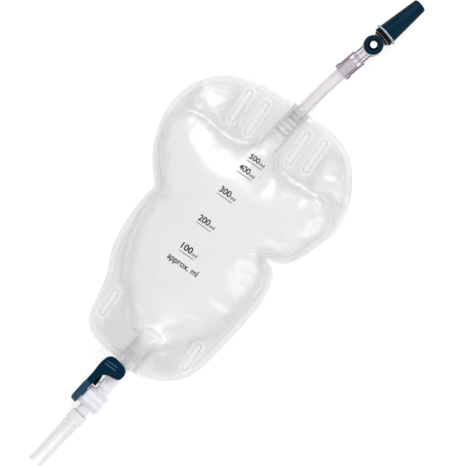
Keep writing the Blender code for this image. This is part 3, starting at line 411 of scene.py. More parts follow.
def add_haze_and_painted_shade(material, mask, haze):
    """More or less milky haze where a mask is 1; on the film it also paints shade as greyer bands and lines.
    """
    amount = material.node_tree.nodes["milky"].inputs["Fac"]
    extra = reckon(material.node_tree, "MULTIPLY_ADD", mask, haze, amount.links[0].from_socket)
    extra.node.use_clamp = True
    material.node_tree.links.new(extra, amount)


def add_relief(material, mask, height):
    """A raised line or a hollow where a mask is 1, its height in metres."""
    nodes, links = material.node_tree.nodes, material.node_tree.links
    relief = nodes.new("ShaderNodeBump")
    relief.inputs["Strength"].default_value = 1
    relief.inputs["Distance"].default_value = height
    links.new(mask, relief.inputs["Height"])
    links.new(relief.outputs[0], nodes["grain"].inputs["Normal"])


film_clear = clear_finish("clear_film", 0.125, 0.33, (0.54, 0.515, 0.53, 1), gloss=0.22)
FILM_BANDS = [  # measure, middle of the band, half its width and its fade, in mm, then its haze
    # painted shade: the film lying flat near the seam is greyer
    ("rise", 0, 1.8, 4.0, 0.025),
    ("rim_gap", 0, 4.2, 0.5, -0.04),
    ("slot_gap", 3.6, 1.0, 0.4, -0.06),
    # painted shade: a grey line where the film lifts off its welds
    ("rise", 1.0, 0.18, 0.45, 0.09),
]
for measure, middle, half, fade, haze in FILM_BANDS:
    add_haze_and_painted_shade(film_clear, attribute_band(film_clear, measure, middle, half, fade), haze)
# The rim weld's inner edge: a raised line, with painted shade making it greyer.
weld_edge_ridge_and_shade = attribute_band(film_clear, "rim_gap", 4.6, 0.15, 0.55)
add_haze_and_painted_shade(film_clear, weld_edge_ridge_and_shade, 0.06)
add_relief(film_clear, weld_edge_ridge_and_shade, 0.0003)
front = film_sheet("front_film", "back_film", "front_sheet", facing=1, flatter=0.8, pressure=6.0)
back = film_sheet("back_film", "front_film", "back_sheet", facing=-1, flatter=1.0, pressure=3.0)
fold(front)
for sheet, node in ((front, "front_film"), (back, "back_film")):
    keep_measures(sheet)
    wall = sheet.modifiers.new("wall", "SOLIDIFY")
    wall.thickness = FILM_T
    wall.offset = -1
    apply_modifiers(sheet)
    bpy.ops.object.shade_smooth()
    sheet.data.materials.append(film_clear)
    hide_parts(node)
    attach(sheet, "bag")

# Slot rings: two raised beads welded round each strap slot, the inner one along the slot's edge, so
# that a strap doesn't tear the film.
BEADS = [(2.35, 0.30), (4.8, 0.34)]  # distance from the slot's middle line, and the bead's radius
BEAD_STEPS = 56
ABOVE_BAG = 0.05  # height from which beads and print are dropped on the front film


def lay_on(piece, sheet):
    """Drops a piece straight down on a sheet of film."""
    onto = piece.modifiers.new("onto_film", "SHRINKWRAP")
    onto.target = sheet
    onto.wrap_method = "PROJECT"
    onto.use_project_z = True
    onto.use_negative_direction = True
    onto.use_positive_direction = False
    apply_modifiers(piece)


def stretch(piece, length):
    """Draws a circle out to a slot's outline."""
    for vertex in piece.data.vertices:
        vertex.co.y += math.copysign((length - SLOT_W) / 2 * MM, vertex.co.y)


def put_at_slot(piece, x, y, height):
    piece.data.transform(
        Matrix.Translation((x * MM, y * MM, height)) @ Matrix.Rotation(SLOT_TURN, 4, "Z")
    )


bead_clear = clear_finish("bead_film", 0.10, 0.30, (0.86, 0.86, 0.87, 1), gloss=0.2)
for number, (slot_x, slot_y, length) in enumerate(SLOTS):
    for gap, radius in BEADS:
        bpy.ops.mesh.primitive_circle_add(vertices=BEAD_STEPS, radius=gap * MM)
        bead = bpy.context.object
        bead.name = f"slot_bead_{number}_{gap:.1f}".replace(".", "_")
        stretch(bead, length)
        put_at_slot(bead, slot_x, slot_y, ABOVE_BAG)
        begin_edit(bead)
        bpy.ops.mesh.subdivide(number_cuts=2)
        end_edit()
        lay_on(bead, front)
        bpy.ops.object.convert(target="CURVE")
        bead.data.bevel_depth = radius * MM
        bead.data.bevel_resolution = 3
        bpy.ops.object.convert(target="MESH")
        bpy.ops.object.shade_smooth()
        bead.data.materials.clear()
        bead.data.materials.append(bead_clear)
        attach(bead, "bag")

# Slot lips: inside its rings each strap slot is closed by two lips of film that meet at a slit and
# give way when a strap is threaded.
SLIT_W, SLIT_SHORT = 0.18, 1.2  # the slit's width, and how far it ends before the slot's end
LIP_LAP, LIP_STRIPS = 0.25, 22  # the lips reach under the inner ring, and follow the seam in strips
LIP_STEPS = 40


def cut_across(piece, point, normal):
    """Cuts a mesh along a plane and keeps both sides."""
    begin_edit(piece)
    bpy.ops.mesh.bisect(plane_co=point, plane_no=normal)
    end_edit()


lip_clear = clear_finish("lip_film", 0.26, 0.40, (0.56, 0.535, 0.55, 1), gloss=0.3)
for number, (slot_x, slot_y, length) in enumerate(SLOTS):
    bpy.ops.mesh.primitive_circle_add(
        vertices=LIP_STEPS, radius=(SLOT_W / 2 + LIP_LAP) * MM, fill_type="NGON"
    )
    lips = bpy.context.object
    lips.name = f"slot_lips_{number}"
    stretch(lips, length)
    slit_half, slit_reach = SLIT_W / 2 * MM, (length / 2 - SLIT_SHORT) * MM
    for side in (-1, 1):
        cut_across(lips, (side * slit_half, 0, 0), (1, 0, 0))
    for side in (-1, 1):
        cut_across(lips, (0, side * slit_reach, 0), (0, 1, 0))
    delete_faces(lips, lambda f: abs(f.center.x) < slit_half and abs(f.center.y) < slit_reach)
    for strip in range(1, LIP_STRIPS):
        cut_across(lips, (0, (strip / LIP_STRIPS - 0.5) * length * MM, 0), (0, 1, 0))
    put_at_slot(lips, slot_x, slot_y, 0)
    for vertex in lips.data.vertices:
        vertex.co.z = seam_height(vertex.co.x, vertex.co.y) + FILM_T / 2
    wall = lips.modifiers.new("wall", "SOLIDIFY")
    wall.thickness = FILM_T
    apply_modifiers(lips)
    lips.data.materials.append(lip_clear)
    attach(lips, "bag")

# Volume scale: printed in slate ink on the front film, over the outlet side of the reservoir. The
# lines and figures climb a little to the right, as the print sits askew on the film.
INK_TURN = math.radians(8)
INK_LIFT = 0.00022
FIGURE_BOLD, SMALL_BOLD = 0.022, 0.016  # how much the strokes are thickened
SCALE_MARKS = [  # figure, left end of its base line, width of the figure, its height
    ("500", (-18.7, 56.7), 8.0, 4.2),
    ("400", (-19.1, 46.2), 8.6, 4.7),
    ("300", (-18.2, 25.6), 8.8, 4.7),
    ("200", (-15.4, 1.2), 8.8, 4.7),
    ("100", (-11.0, -21.2), 8.8, 4.7),
]
UNIT_W, UNIT_H, UNIT_GAP = 3.9, 2.5, 0.6
MARK_W, MARK_T, MARK_DROP = 12.6, 0.40, 1.8
APPROX_AT, APPROX_W, APPROX_H = (-13.0, -34.1), 24.6, 6.1


def ink_place(corner):
    """Where a base line starts, above the bag."""
    lift = Matrix.Translation((corner[0] * MM, corner[1] * MM, ABOVE_BAG))
    return lift @ Matrix.Rotation(INK_TURN, 4, "Z")


def ink(name, words, corner, width, height, bold):
    """Words as a flat mesh of a given width and height, their lower left corner at a point."""
    bpy.ops.object.text_add()
    letters = bpy.context.object
    letters.data.body = words
    letters.data.offset = bold
    bpy.ops.object.convert(target="MESH")
    letters.name = name
    begin_edit(letters)
    bpy.ops.mesh.quads_convert_to_tris()
    bpy.ops.mesh.subdivide(number_cuts=1)
    end_edit()
    xs = [v.co.x for v in letters.data.vertices]
    ys = [v.co.y for v in letters.data.vertices]
    wide, tall = width * MM / (max(xs) - min(xs)), height * MM / (max(ys) - min(ys))
    letters.data.transform(
        ink_place(corner) @ Matrix.Diagonal((wide, tall, 1, 1)) @ Matrix.Translation((-min(xs), -min(ys), 0))
    )
    return letters


def ink_line(name, corner, width, thickness, drop):
    bpy.ops.mesh.primitive_grid_add(x_subdivisions=24, y_subdivisions=1, size=1)
    line = bpy.context.object
    line.name = name
    line.data.transform(
        ink_place(corner) @ Matrix.Translation((width * MM / 2, -drop * MM, 0))
        @ Matrix.Diagonal((width * MM, thickness * MM, 1, 1))
    )
    return line


prints = []
for figure, corner, width, height in SCALE_MARKS:
    prints.append(ink("figure_" + figure, figure, corner, width, height, FIGURE_BOLD))
    past = width + UNIT_GAP
    unit_at = (corner[0] + past * math.cos(INK_TURN), corner[1] + past * math.sin(INK_TURN))
    prints.append(ink("unit_" + figure, "ml", unit_at, UNIT_W, UNIT_H, SMALL_BOLD))
    prints.append(ink_line("line_" + figure, corner, MARK_W, MARK_T, MARK_DROP))
prints.append(ink("approx", "approx. ml", APPROX_AT, APPROX_W, APPROX_H, SMALL_BOLD))
slate = bpy.data.materials.new("slate_ink")
slate.use_nodes = True
nodes, links = slate.node_tree.nodes, slate.node_tree.links
skin = nodes["Principled BSDF"]
skin.inputs["Roughness"].default_value = 0.45
skin.inputs["Specular IOR Level"].default_value = 0.1
blotch = nodes.new("ShaderNodeTexNoise")
blotch.inputs["Scale"].default_value = 1400
where = nodes.new("ShaderNodeTexCoord")
links.new(where.outputs["Object"], blotch.inputs["Vector"])
shade = nodes.new("ShaderNodeMix")
shade.data_type = "RGBA"
shade.inputs["A"].default_value = (0.0010, 0.0090, 0.0150, 1)
shade.inputs["B"].default_value = (0.0025, 0.0150, 0.0230, 1)
links.new(blotch.outputs["Fac"], shade.inputs["Factor"])
links.new(shade.outputs["Result"], skin.inputs["Base Color"])
for print_piece in prints:
    lay_on(print_piece, front)
    print_piece.data.transform(Matrix.Translation((0, 0, INK_LIFT)))
    print_piece.data.materials.append(slate)
    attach(print_piece, "bag")

# Valve: two flaps of thin film that grip the inlet port's nose and lie on each other below it, so
# that urine can't run back up the tube.
FLAP_SMOOTH_TO = math.radians(60)
valve_clear = clear_finish("valve_film", 0.008, 0.10, (0.88, 0.87, 0.88, 1), gloss=0.3)
for node, name in (("valve_front_flap", "front_flap"), ("valve_back_flap", "back_flap")):
    flap = merged_copy(node, name)
    smooth = flap.modifiers.new("smooth", "SUBSURF")
    smooth.levels = smooth.render_levels = 1
    apply_modifiers(flap)
    bpy.ops.object.shade_smooth_by_angle(angle=FLAP_SMOOTH_TO)
    flap.data.materials.append(valve_clear)
    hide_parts(node)
    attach(flap, "bag")

# Ports: round mouldings of clear plastic, welded between the films at both ends of the bag. Rings
# round them give the weld a grip and show through the film as stripes, painted as a highlight on
# their crests and as shade in the grooves between them.
LENGTHWISE = Matrix.Rotation(math.radians(-90), 4, "X")  # turns a profile's +Z to +Y
SIDEWAYS = Matrix.Rotation(math.radians(90), 4, "Y")  # and to +X
INLET_X, INLET_MOUTH, INLET_PORT_L, INLET_R = -14.2, 107.6, 30.2, 4.9
OUTLET_X, OUTLET_MOUTH, OUTLET_R = 16.8, -108.4, 6.6
GAP = 0.3  # clearance between pieces that seat on each other
RING_H = 0.5
RING_CROWN, RING_FOOT = 0.14, 0.32  # half a ring's width at its top and its foot, as shares of the pitch
BEVEL_FROM, SMOOTH_TO = math.radians(28), math.radians(40)


def round_edges(piece, width):
    """Rounds a moulding's edges by a width in mm, and shades it as one skin between them."""
    if width:
        rounded = piece.modifiers.new("edge", "BEVEL")
        rounded.width = width * MM
        rounded.segments = 2
        rounded.limit_method = "ANGLE"
        rounded.angle_limit = BEVEL_FROM
    apply_modifiers(piece)
    bpy.ops.object.shade_smooth_by_angle(angle=SMOOTH_TO)


def close_up():
    """Joins the doubled points of the mesh in edit mode, turns its faces outwards and leaves it."""
    bpy.ops.mesh.select_all(action="SELECT")
    bpy.ops.mesh.remove_doubles(threshold=MERGE)
    bpy.ops.mesh.normals_make_consistent(inside=False)
    end_edit()


def turned(name, corners, place, edge=0.15, steps=64):
    """A moulding turned about its own +Z from (radius, height) corners in mm, then set in place.
    Corners that start and end on the axis make a solid one, and others a wall round a bore."""
    rim = len(corners) if corners[0][0] > 0 else len(corners) - 1
    mesh = bpy.data.meshes.new(name)
    mesh.from_pydata(
        [(r * MM, 0, z * MM) for r, z in corners],
        [(i, (i + 1) % len(corners)) for i in range(rim)], []
    )
    piece = bpy.data.objects.new(name, mesh)
    bpy.context.scene.collection.objects.link(piece)
    begin_edit(piece)
    bpy.ops.mesh.spin(steps=steps, angle=math.tau, center=(0, 0, 0), axis=(0, 0, 1))
    close_up()
    round_edges(piece, edge)
    piece.data.transform(place)
    return piece


def finish_piece(piece, material, node, body):
    piece.data.materials.append(material)
    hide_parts(node)
    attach(piece, body)


def paint(piece, material, chosen):
    """Gives another finish to the faces whose middle a test picks."""
    piece.data.materials.append(material)
    for face in piece.data.polygons:
        if chosen(face.center):
            face.material_index = len(piece.data.materials) - 1


def ringed(radius, low, high, count):
    """Corners of a stretch with rings, from low to high."""
    pitch = (high - low) / count
    corners = []
    for i in range(count):
        middle = low + (i + 0.5) * pitch
        corners += [
            (radius, middle - RING_FOOT * pitch), (radius + RING_H, middle - RING_CROWN * pitch),
            (radius + RING_H, middle + RING_CROWN * pitch), (radius, middle + RING_FOOT * pitch),
        ]
    return corners


port_clear = clear_finish("clear_port", 0.045, 0.22, (0.66, 0.645, 0.65, 1), gloss=0.25, turn_power=1.8)
# painted shade for the ports' grooves, and a painted highlight for their ring crests
grey_groove_shade = clear_finish("port_groove_shade", 0.34, 0.50, (0.40, 0.385, 0.39, 1), gloss=0.3)
pale_groove_shade = clear_finish("outlet_groove_shade", 0.26, 0.40, (0.44, 0.425, 0.43, 1), gloss=0.3)
ring_crest_highlight = clear_finish("port_ring", 0.16, 0.40, (0.88, 0.87, 0.88, 1), gloss=0.2)
inlet_port = turned("inlet_port_moulding", [
    (2.75, 0), (4.3, 0), (4.3, 7.0), (INLET_R, 7.0), *ringed(INLET_R, 8.0, 24.5, 4), (INLET_R, 25.0),
    (5.85, 25.0), (5.85, INLET_PORT_L), (4.55, INLET_PORT_L), (4.55, 18.9), (2.75, 18.9),
], Matrix.Translation((INLET_X * MM, (INLET_MOUTH + GAP - INLET_PORT_L) * MM, SEAM_Z)) @ LENGTHWISE)
outlet_port = turned("outlet_port_moulding", [
    (4.0, 0), (7.1, 0), (7.1, 4.5), *ringed(OUTLET_R, 5.5, 19.7, 7), (OUTLET_R, 21.7), (4.0, 21.7),
], Matrix.Translation((OUTLET_X * MM, (OUTLET_MOUTH - GAP) * MM, SEAM_Z)) @ LENGTHWISE)
finish_piece(inlet_port, port_clear, "inlet_port", "bag")
finish_piece(outlet_port, port_clear, "outlet_port", "bag")


def past_wall(point, middle, bare):
    """How far in mm a point of a port lies outside its wall between the rings."""
    return math.hypot(point.x / MM - middle, (point.z - SEAM_Z) / MM) - bare


for port, groove_shade_finish, middle, bare, low, high in (  # low to high is where the grooves get painted shade
    (inlet_port, grey_groove_shade, INLET_X, INLET_R, 84.0, 102.6),
    (outlet_port, pale_groove_shade, OUTLET_X, OUTLET_R, -103.4, -88.8),
):
    # Painted light: the ring crests get a whiter finish as a highlight, and the grooves a greyer one as
    # shade.
    paint(port, ring_crest_highlight, lambda p: past_wall(p, middle, bare) > 0.3 and -102.5 < p.y / MM < 102.0)
    paint(port, groove_shade_finish, lambda p: abs(past_wall(p, middle, bare)) < 0.25 and low < p.y / MM < high)

# Inlet tube: a short stub of soft translucent tube, pushed into the port's socket and into the
# connector's, with a slight bend between them.
TUBE_R, TUBE_WALL, TUBE_IN = 4.25, 1.5, 11.0  # radius, wall, and how deep each end is pushed in
TUBE_OFF, TUBE_FREE = 2.1, 37.4  # how far the connector lies to the side of the port, and beyond it
CONNECTOR_LEAN = math.radians(6.5)
CONNECTOR_AXIS = Vector((math.sin(CONNECTOR_LEAN), math.cos(CONNECTOR_LEAN), 0))
CONNECTOR_AT = Vector((INLET_X + TUBE_OFF, INLET_MOUTH + TUBE_FREE, SEAM_Z / MM)) * MM
tube_from = Vector((INLET_X, INLET_MOUTH + GAP - TUBE_IN, SEAM_Z / MM)) * MM
tube_to = CONNECTOR_AT + CONNECTOR_AXIS * TUBE_IN * MM
pull = (tube_to - tube_from).length / 3
bpy.ops.curve.primitive_bezier_curve_add()
tube = bpy.context.object
tube.name = "inlet_tubing"
for point, at, heading in zip(
    tube.data.splines[0].bezier_points, (tube_from, tube_to), (Vector((0, 1, 0)), CONNECTOR_AXIS)
):
    point.handle_left_type = point.handle_right_type = "FREE"
    point.co, point.handle_left, point.handle_right = at, at - heading * pull, at + heading * pull
tube.data.resolution_u = 24
tube.data.bevel_depth = TUBE_R * MM
tube.data.bevel_resolution = 14
tube.data.dimensions = "3D"
pick(tube)
bpy.ops.object.convert(target="MESH")
begin_edit(tube)
close_up()
wall = tube.modifiers.new("wall", "SOLIDIFY")
wall.thickness = TUBE_WALL * MM
wall.offset = -1
round_edges(tube, 0)
# The tube's dark edge colour is painted shade along its sides, where it turns away.
tube_soft = clear_finish(
    "soft_tube", 0.50, 0.95, (0.69, 0.655, 0.67, 1), gloss=0.3, turn_power=1.8,
    edge_shade_colour=(0.15, 0.135, 0.14, 1)
)
finish_piece(tube, tube_soft, "inlet_tube", "bag")

# Connector: one moulding of clear plastic with a lilac cast. It is a socket for the tube, a step,
# a neck with a round boss for the sample port, a flange for the thumb and a tapered nozzle.
STEP_RING_AT, PORT_ALONG, FLANGE_AT = 15.75, 29.1, 40.8  # along its axis from the tube's end
FLANGE_T, NOZZLE_L = 1.2, 26.5


def on_connector(along=0.0, up=False):
    """A place on the connector's axis. A profile's +Z points along the axis, or up."""
    lean = Matrix.Rotation(-CONNECTOR_LEAN, 4, "Z")
    turn = lean if up else lean @ LENGTHWISE
    return Matrix.Translation(CONNECTOR_AT + CONNECTOR_AXIS * along * MM) @ turn


def combine(piece, other, operation):
    """Joins another solid to a piece, or cuts it out, and drops the other."""
    step = piece.modifiers.new("join", "BOOLEAN")
    step.operation = operation
    step.object = other
    step.solver = "EXACT"
    apply_modifiers(piece)
    bpy.data.objects.remove(other)


def rod(name, radius, low, high, place):
    return turned(name, [(0, low), (radius, low), (radius, high), (0, high)], place, edge=0)


nozzle_at = FLANGE_AT + FLANGE_T
connector = turned("connector_moulding", [
    (4.55, 0), (6.4, 0), (6.4, 3.4), (5.85, 3.4), (5.85, 15.2), (6.2, 15.2), (6.2, 16.3), (4.75, 16.3),
    (4.75, 22.6), (5.2, 23.6), (5.2, FLANGE_AT), (8.75, FLANGE_AT), (8.75, nozzle_at), (4.6, nozzle_at),
    (3.2, nozzle_at + NOZZLE_L), (2.4, nozzle_at + NOZZLE_L), (2.4, 11.3), (4.55, 11.3),
], on_connector(), edge=0)
port_place = on_connector(PORT_ALONG, up=True)
combine(connector, rod("boss", 7.2, -3.0, 5.5, port_place), "UNION")
combine(connector, rod("lumen", 2.4, 20.6, FLANGE_AT, on_connector()), "DIFFERENCE")
combine(connector, rod("pocket", 3.5, 0, 10.5, port_place), "DIFFERENCE")
round_edges(connector, 0.25)
# Its dark edge colour and outline paint shade as a dark line along the connector's edges.
lilac_clear = clear_finish(
    "clear_connector", 0.13, 0.92, (0.56, 0.45, 0.56, 1), gloss=0.1, outline=(0.22, 0.55),
    edge_shade_colour=(0.034, 0.013, 0.042, 1), shine_share=0.25
)
lilac_edge_shade = clear_finish("connector_edge_shade", 0.45, 0.9, (0.20, 0.13, 0.22, 1), gloss=0.1)
flange_pale = clear_finish("pale_flange", 0.80, 0.95, (0.26, 0.33, 0.40, 1), gloss=0.15, shine_share=0.5)
finish_piece(connector, lilac_clear, "connector_body", "bag")


def along_connector(point):
    return (point - CONNECTOR_AT).dot(CONNECTOR_AXIS) / MM


paint(connector, flange_pale, lambda p: FLANGE_AT - 0.1 < along_connector(p) < nozzle_at + 0.1)
# Painted shade: a darker lilac finish draws shade lines round the socket's mouth and its step.
paint(connector, lilac_edge_shade, lambda p: (
    abs(along_connector(p)) < 0.25 or abs(along_connector(p) - STEP_RING_AT) < 0.62))

# Sample port: a navy moulded collar pressed on the connector's boss, round a white rubber plunger
# that a syringe presses in.
def plastic(name, colour, roughness, grain=0.05, specular=0.4):
    """Moulded plastic in one colour, with the faint grain that a mould leaves."""
    material = bpy.data.materials.new(name)
    material.use_nodes = True
    nodes, links = material.node_tree.nodes, material.node_tree.links
    skin = nodes["Principled BSDF"]
    skin.inputs["Specular IOR Level"].default_value = specular
    where = nodes.new("ShaderNodeTexCoord")
    fine = nodes.new("ShaderNodeTexNoise")
    fine.inputs["Scale"].default_value = 2600
    fine.inputs["Detail"].default_value = 4
    wide = nodes.new("ShaderNodeTexNoise")
    wide.inputs["Scale"].default_value = 140
    links.new(where.outputs["Object"], fine.inputs["Vector"])
    links.new(where.outputs["Object"], wide.inputs["Vector"])
    shade = nodes.new("ShaderNodeMix")
    shade.data_type = "RGBA"
    shade.inputs["A"].default_value = [0.88 * c for c in colour[:3]] + [1]
    shade.inputs["B"].default_value = [1.12 * c for c in colour[:3]] + [1]
    links.new(wide.outputs["Fac"], shade.inputs["Factor"])
    links.new(shade.outputs["Result"], skin.inputs["Base Color"])
    gloss = nodes.new("ShaderNodeMapRange")
    gloss.inputs["To Min"].default_value = roughness - 0.06
    gloss.inputs["To Max"].default_value = roughness + 0.06
    links.new(fine.outputs["Fac"], gloss.inputs["Value"])
    links.new(gloss.outputs[0], skin.inputs["Roughness"])
    bump = nodes.new("ShaderNodeBump")
    bump.inputs["Strength"].default_value = grain
    bump.inputs["Distance"].default_value = 0.0002
    links.new(fine.outputs["Fac"], bump.inputs["Height"])
    links.new(bump.outputs[0], skin.inputs["Normal"])
    return material


navy = plastic("navy_plastic", (0.0002, 0.0135, 0.0310), 0.40, specular=0.035)
white_rubber = plastic("white_rubber", (0.84, 0.83, 0.81), 0.55, specular=0.3)
collar = turned("port_collar", [
    (3.5, 5.8), (6.9, 5.8), (6.9, 8.6), (5.9, 9.8), (4.4, 9.8), (4.0, 9.5), (3.5, 8.8),
], port_place, edge=0.12)
finish_piece(collar, navy, "sample_port_ring", "bag")
septum = turned("septum_plunger", [
    (0, 2.7), (3.1, 2.7), (3.1, 6.2), (2.45, 6.2), (2.45, 8.7), (2.3, 9.0), (2.1, 9.1), (0.9, 9.1),
    (0.7, 8.8), (0, 8.8),
], port_place, edge=0.12)
finish_piece(septum, white_rubber, "septum", "septum")

# Near-black grip plastic, also painted into the sample port's recess as shade.
near_black_and_recess_shade = plastic("dark_grip_and_recess_shade", (0.0008, 0.0016, 0.0032), 0.42, specular=0.05)


def from_port(point):
    """Distance in mm from a point to the sample port's axis."""
    return (point - port_place.translation).xy.length / MM


# Painted shade: the plunger's sides, the collar's bore and the boss's pocket are near-black for the shade
# deep in the port.
paint(septum, near_black_and_recess_shade, lambda p: p.z < SEAM_Z + 8.7 * MM)
paint(collar, near_black_and_recess_shade, lambda p: from_port(p) < 4.1)
paint(connector, near_black_and_recess_shade, lambda p: from_port(p) < 3.6 and p.z > SEAM_Z - 0.2 * MM)

# Grip sleeve: a near-black moulded sleeve with steps and a pale groove, pressed on the connector
# between the sample port and the flange.
sleeve_end = FLANGE_AT - GAP
sleeve = turned("sleeve_moulding", [
    (5.5, 36.6), (6.05, 36.6), (6.05, 37.55), (5.9, 37.55), (5.9, 38.0), (7.35, 38.0),
    (7.35, sleeve_end - 0.4), (6.95, sleeve_end), (5.5, sleeve_end),
], on_connector(), edge=0.15)
finish_piece(sleeve, near_black_and_recess_shade, "grip_sleeve", "bag")
line_pale = plastic("sleeve_groove", (0.55, 0.50, 0.42), 0.4)
paint(sleeve, line_pale, lambda p: 37.6 < along_connector(p) < 37.98)

# Protective cap: a tapered cap moulded in navy plastic. It sits over the nozzle and is pulled off
# before the bag is joined to a catheter.
CAP_L = 31.3
cap_base = nozzle_at + GAP
cap_tip = cap_base + CAP_L
cap = turned("cap_moulding", [
    (0, cap_tip), (3.9, cap_tip), (4.68, cap_tip - 0.36), (5.1, cap_tip - 1.2), (7.3, cap_base + 0.5),
    (7.0, cap_base), (4.9, cap_base), (4.9, cap_base + 4.5), (5.6, cap_base + 5.5),
    (3.9, cap_tip - 2.2), (0, cap_tip - 1.2),
], on_connector(), edge=0.3)
finish_piece(cap, navy, "protective_cap", "cap")

# Tap body: one milky moulding, a ribbed neck that plugs into the outlet port, a cross barrel for
# the plug and a nozzle for the outlet tube.
NECK_L = 33.2
TAP_AT = Vector((OUTLET_X, OUTLET_MOUTH - NECK_L, SEAM_Z / MM)) * MM
AT_TAP = Matrix.Translation(TAP_AT)
NECK_TOP = NECK_L - 2 * GAP
barrel = turned("tap_moulding", [
    (0, -7.6), (7.0, -7.6), (7.7, -6.9), (7.7, 6.8), (0, 6.8),
], AT_TAP @ SIDEWAYS, edge=0)
stem = turned("stem", [
    (0, -30.4), (2.8, -30.4), (3.6, -26.6), (3.1, -26.2), (3.1, -12.8), (4.45, -12.8), (4.45, -1),
    (4.1, 1), (4.1, 10.6), (5.5, 11.1), (5.5, 12.7), (5.1, 13.2), (5.1, 16.0), (4.7, 16.4),
    (4.7, 17.2), (5.1, 17.6), (5.1, 20.4), (4.7, 20.8), (4.7, 21.6), (5.1, 22.0), (5.1, NECK_TOP),
    (3.7, NECK_TOP), (3.7, NECK_TOP + 11), (3.2, NECK_TOP + 12), (0, NECK_TOP + 12),
], AT_TAP @ LENGTHWISE, edge=0)
combine(barrel, stem, "UNION")
combine(barrel, rod("flow", 1.8, -31.4, NECK_TOP + 13, AT_TAP @ LENGTHWISE), "DIFFERENCE")
combine(barrel, rod("cross", 5.8, -8.6, 7.8, AT_TAP @ SIDEWAYS), "DIFFERENCE")
round_edges(barrel, 0.3)
tap_milky = clear_finish("milky_tap", 0.55, 0.92, (0.77, 0.755, 0.80, 1), gloss=0.22, turn_power=1.2)
finish_piece(barrel, tap_milky, "tap_body", "bag")

# Barrel's end cap: a round disc with a domed edge, moulded in the same milky plastic as the tap's
# body and pressed into the barrel's right end.
disc = turned("barrel_disc", [
    (0, 5.1), (5.5, 5.1), (5.5, 6.85), (7.7, 6.85), (7.66, 7.35), (7.4, 7.95), (6.9, 8.4), (6.1, 8.65),
    (5.2, 8.7), (0, 8.7),
], AT_TAP @ SIDEWAYS, edge=0)
finish_piece(disc, tap_milky, "barrel_end_cap", "bag")

# Plug: the turning part inside the barrel, moulded in white plastic, with the hole that the urine
# runs through. Its end is fixed to the lever's hub.
white_plug = plastic("white_plug_plastic", (0.80, 0.80, 0.83), 0.45)
plug = merged_copy("tap_plug", "plug_moulding")
round_edges(plug, 0.15)
finish_piece(plug, white_plug, "tap_plug", "lever")

# Lever: one navy moulding, with a hub beside the barrel, an arm and a paddle for the thumb. It lies
# over the neck while the tap is shut, and turns with the plug.
PLATE_PLAN = [  # the arm and the paddle from above, in mm from the middle of the tap
    (-12.4, -3.0), (-13.2, 1.0), (-13.3, 5.0), (-13.1, 10.0), (-13.2, 16.0), (-13.7, 22.0),
    (-13.5, 27.0), (-12.3, 30.6), (-9.4, 32.6), (-4.3, 32.8), (1.6, 31.9), (4.1, 29.6), (4.7, 26.3),
    (3.5, 22.9), (0.2, 21.6), (-3.7, 20.4), (-6.5, 18.2), (-7.8, 14.5), (-8.0, 9.0), (-7.95, 4.0),
    (-8.3, -3.0),
]
WEB_PLAN = [(-8.2, 8.8), (-8.2, 16.0), (-6.3, 17.2), (-5.4, 12.0), (-5.3, 8.8)]
PLATE_LOW, PLATE_TOP = 6.0, 9.5
WEB_LOW, WEB_SUNK = 2.6, 0.2  # the web's foot, and how far it goes into the arm
HUB_HIGHLIGHT_TOP, HUB_HIGHLIGHT_SLOPE = 3.6, 0.45  # where the painted highlight on the hub's lower part begins
THUMB_RIBS = [(-11.2, 27.9, 8.6), (-11.1, 25.5, 8.9)]  # left end and length of each
THUMB_RIB_R, THUMB_RIB_TURN = 0.26, math.radians(7)


def plate(name, plan, low, high, rounded):
    """A flat plate cut to a plan, its outline drawn through the points, from low to high."""
    outline = bpy.data.curves.new(name, "CURVE")
    outline.dimensions = "2D"
    outline.fill_mode = "BOTH"
    outline.extrude = (high - low) / 2 * MM
    outline.resolution_u = 5
    spline = outline.splines.new("BEZIER")
    spline.use_cyclic_u = True
    spline.bezier_points.add(len(plan) - 1)
    for point, (x, y) in zip(spline.bezier_points, plan):
        point.co = (x * MM, y * MM, 0)
        point.handle_left_type = point.handle_right_type = "AUTO" if rounded else "VECTOR"
    piece = bpy.data.objects.new(name, outline)
    bpy.context.scene.collection.objects.link(piece)
    pick(piece)
    bpy.ops.object.convert(target="MESH")
    begin_edit(piece)
    close_up()
    piece.data.transform(AT_TAP @ Matrix.Translation((0, 0, (low + high) / 2 * MM)))
    return piece


lever = turned("lever_moulding", [
    (0, -13.3), (7.4, -13.3), (8.6, -12.9), (9.3, -12.2), (9.6, -11.2), (9.7, -10.0), (9.7, -7.9), (0, -7.9),
], AT_TAP @ SIDEWAYS, edge=0)
combine(lever, plate("arm", PLATE_PLAN, PLATE_LOW, PLATE_TOP, True), "UNION")
round_edges(lever, 0.45)
finish_piece(lever, navy, "tap_lever", "lever")
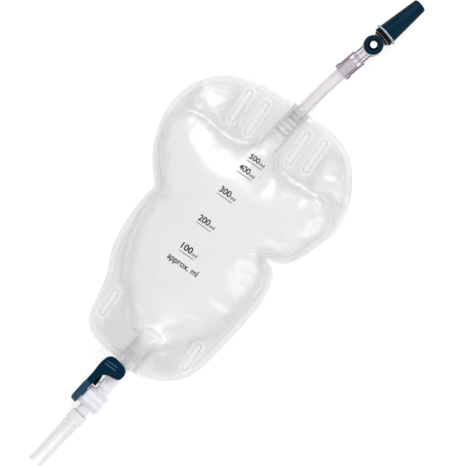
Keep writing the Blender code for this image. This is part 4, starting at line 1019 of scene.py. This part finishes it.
# Painted highlight: the hub and the arm's outer part below a slanted cut are a lighter navy, for the light
# its side catches.
hub_highlight_blue = plastic("hub_navy_highlight", (0.008, 0.040, 0.075), 0.35, specular=0.15)
hub_highlight_top = TAP_AT + Vector((0, HUB_HIGHLIGHT_TOP, 0)) * MM
hub_highlight_up = Vector((HUB_HIGHLIGHT_SLOPE, 1, 0))
cut_across(lever, hub_highlight_top, hub_highlight_up)
paint(lever, hub_highlight_blue, lambda p: (p - hub_highlight_top).dot(hub_highlight_up) < 0 and p.x < TAP_AT.x - 8.0 * MM)
# The web under the arm is near-black as painted shade in the gap between the arm and the neck.
web = plate("lever_web", WEB_PLAN, WEB_LOW, PLATE_LOW + WEB_SUNK, False)
web.data.materials.append(near_black_and_recess_shade)
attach(web, "lever")
# The thumb ribs are painted a lighter navy as a highlight along them.
rib_highlight_blue = plastic("rib_highlight_navy", (0.045, 0.11, 0.16), 0.35, specular=0.3)
for number, (rib_x, rib_y, length) in enumerate(THUMB_RIBS):
    bpy.ops.mesh.primitive_cylinder_add(
        vertices=16, radius=THUMB_RIB_R * MM, depth=length * MM, end_fill_type="TRIFAN"
    )
    rib = bpy.context.object
    rib.name = f"thumb_rib_{number}"
    round_edges(rib, 0.1)
    rib.data.transform(
        AT_TAP @ Matrix.Translation((rib_x * MM, rib_y * MM, PLATE_TOP * MM))
        @ Matrix.Rotation(THUMB_RIB_TURN, 4, "Z") @ SIDEWAYS
        @ Matrix.Translation((0, 0, length / 2 * MM))
    )
    rib.data.materials.append(rib_highlight_blue)
    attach(rib, "lever")

# Outlet tube: soft translucent tube, stretched in three steps where it is pushed over the tap's
# nozzle. Its open end takes a night bag's connector.
outlet_tube = turned("outlet_tubing", [
    (3.9, -59.7), (5.35, -59.7), (5.35, -32.7), (5.7, -32.1), (5.7, -21.5), (6.2, -20.7), (6.05, -19.5),
    (6.05, -13.5), (5.65, -13.1), (3.9, -13.1),
], AT_TAP @ LENGTHWISE, edge=0.25)
# The tube's darker edge colour is painted shade along its sides, where it turns away.
outlet_soft = clear_finish(
    "soft_outlet_tube", 0.50, 0.9, (0.82, 0.795, 0.805, 1), gloss=0.3, turn_power=2.2,
    edge_shade_colour=(0.40, 0.38, 0.39, 1)
)
finish_piece(outlet_tube, outlet_soft, "outlet_tube", "bag")
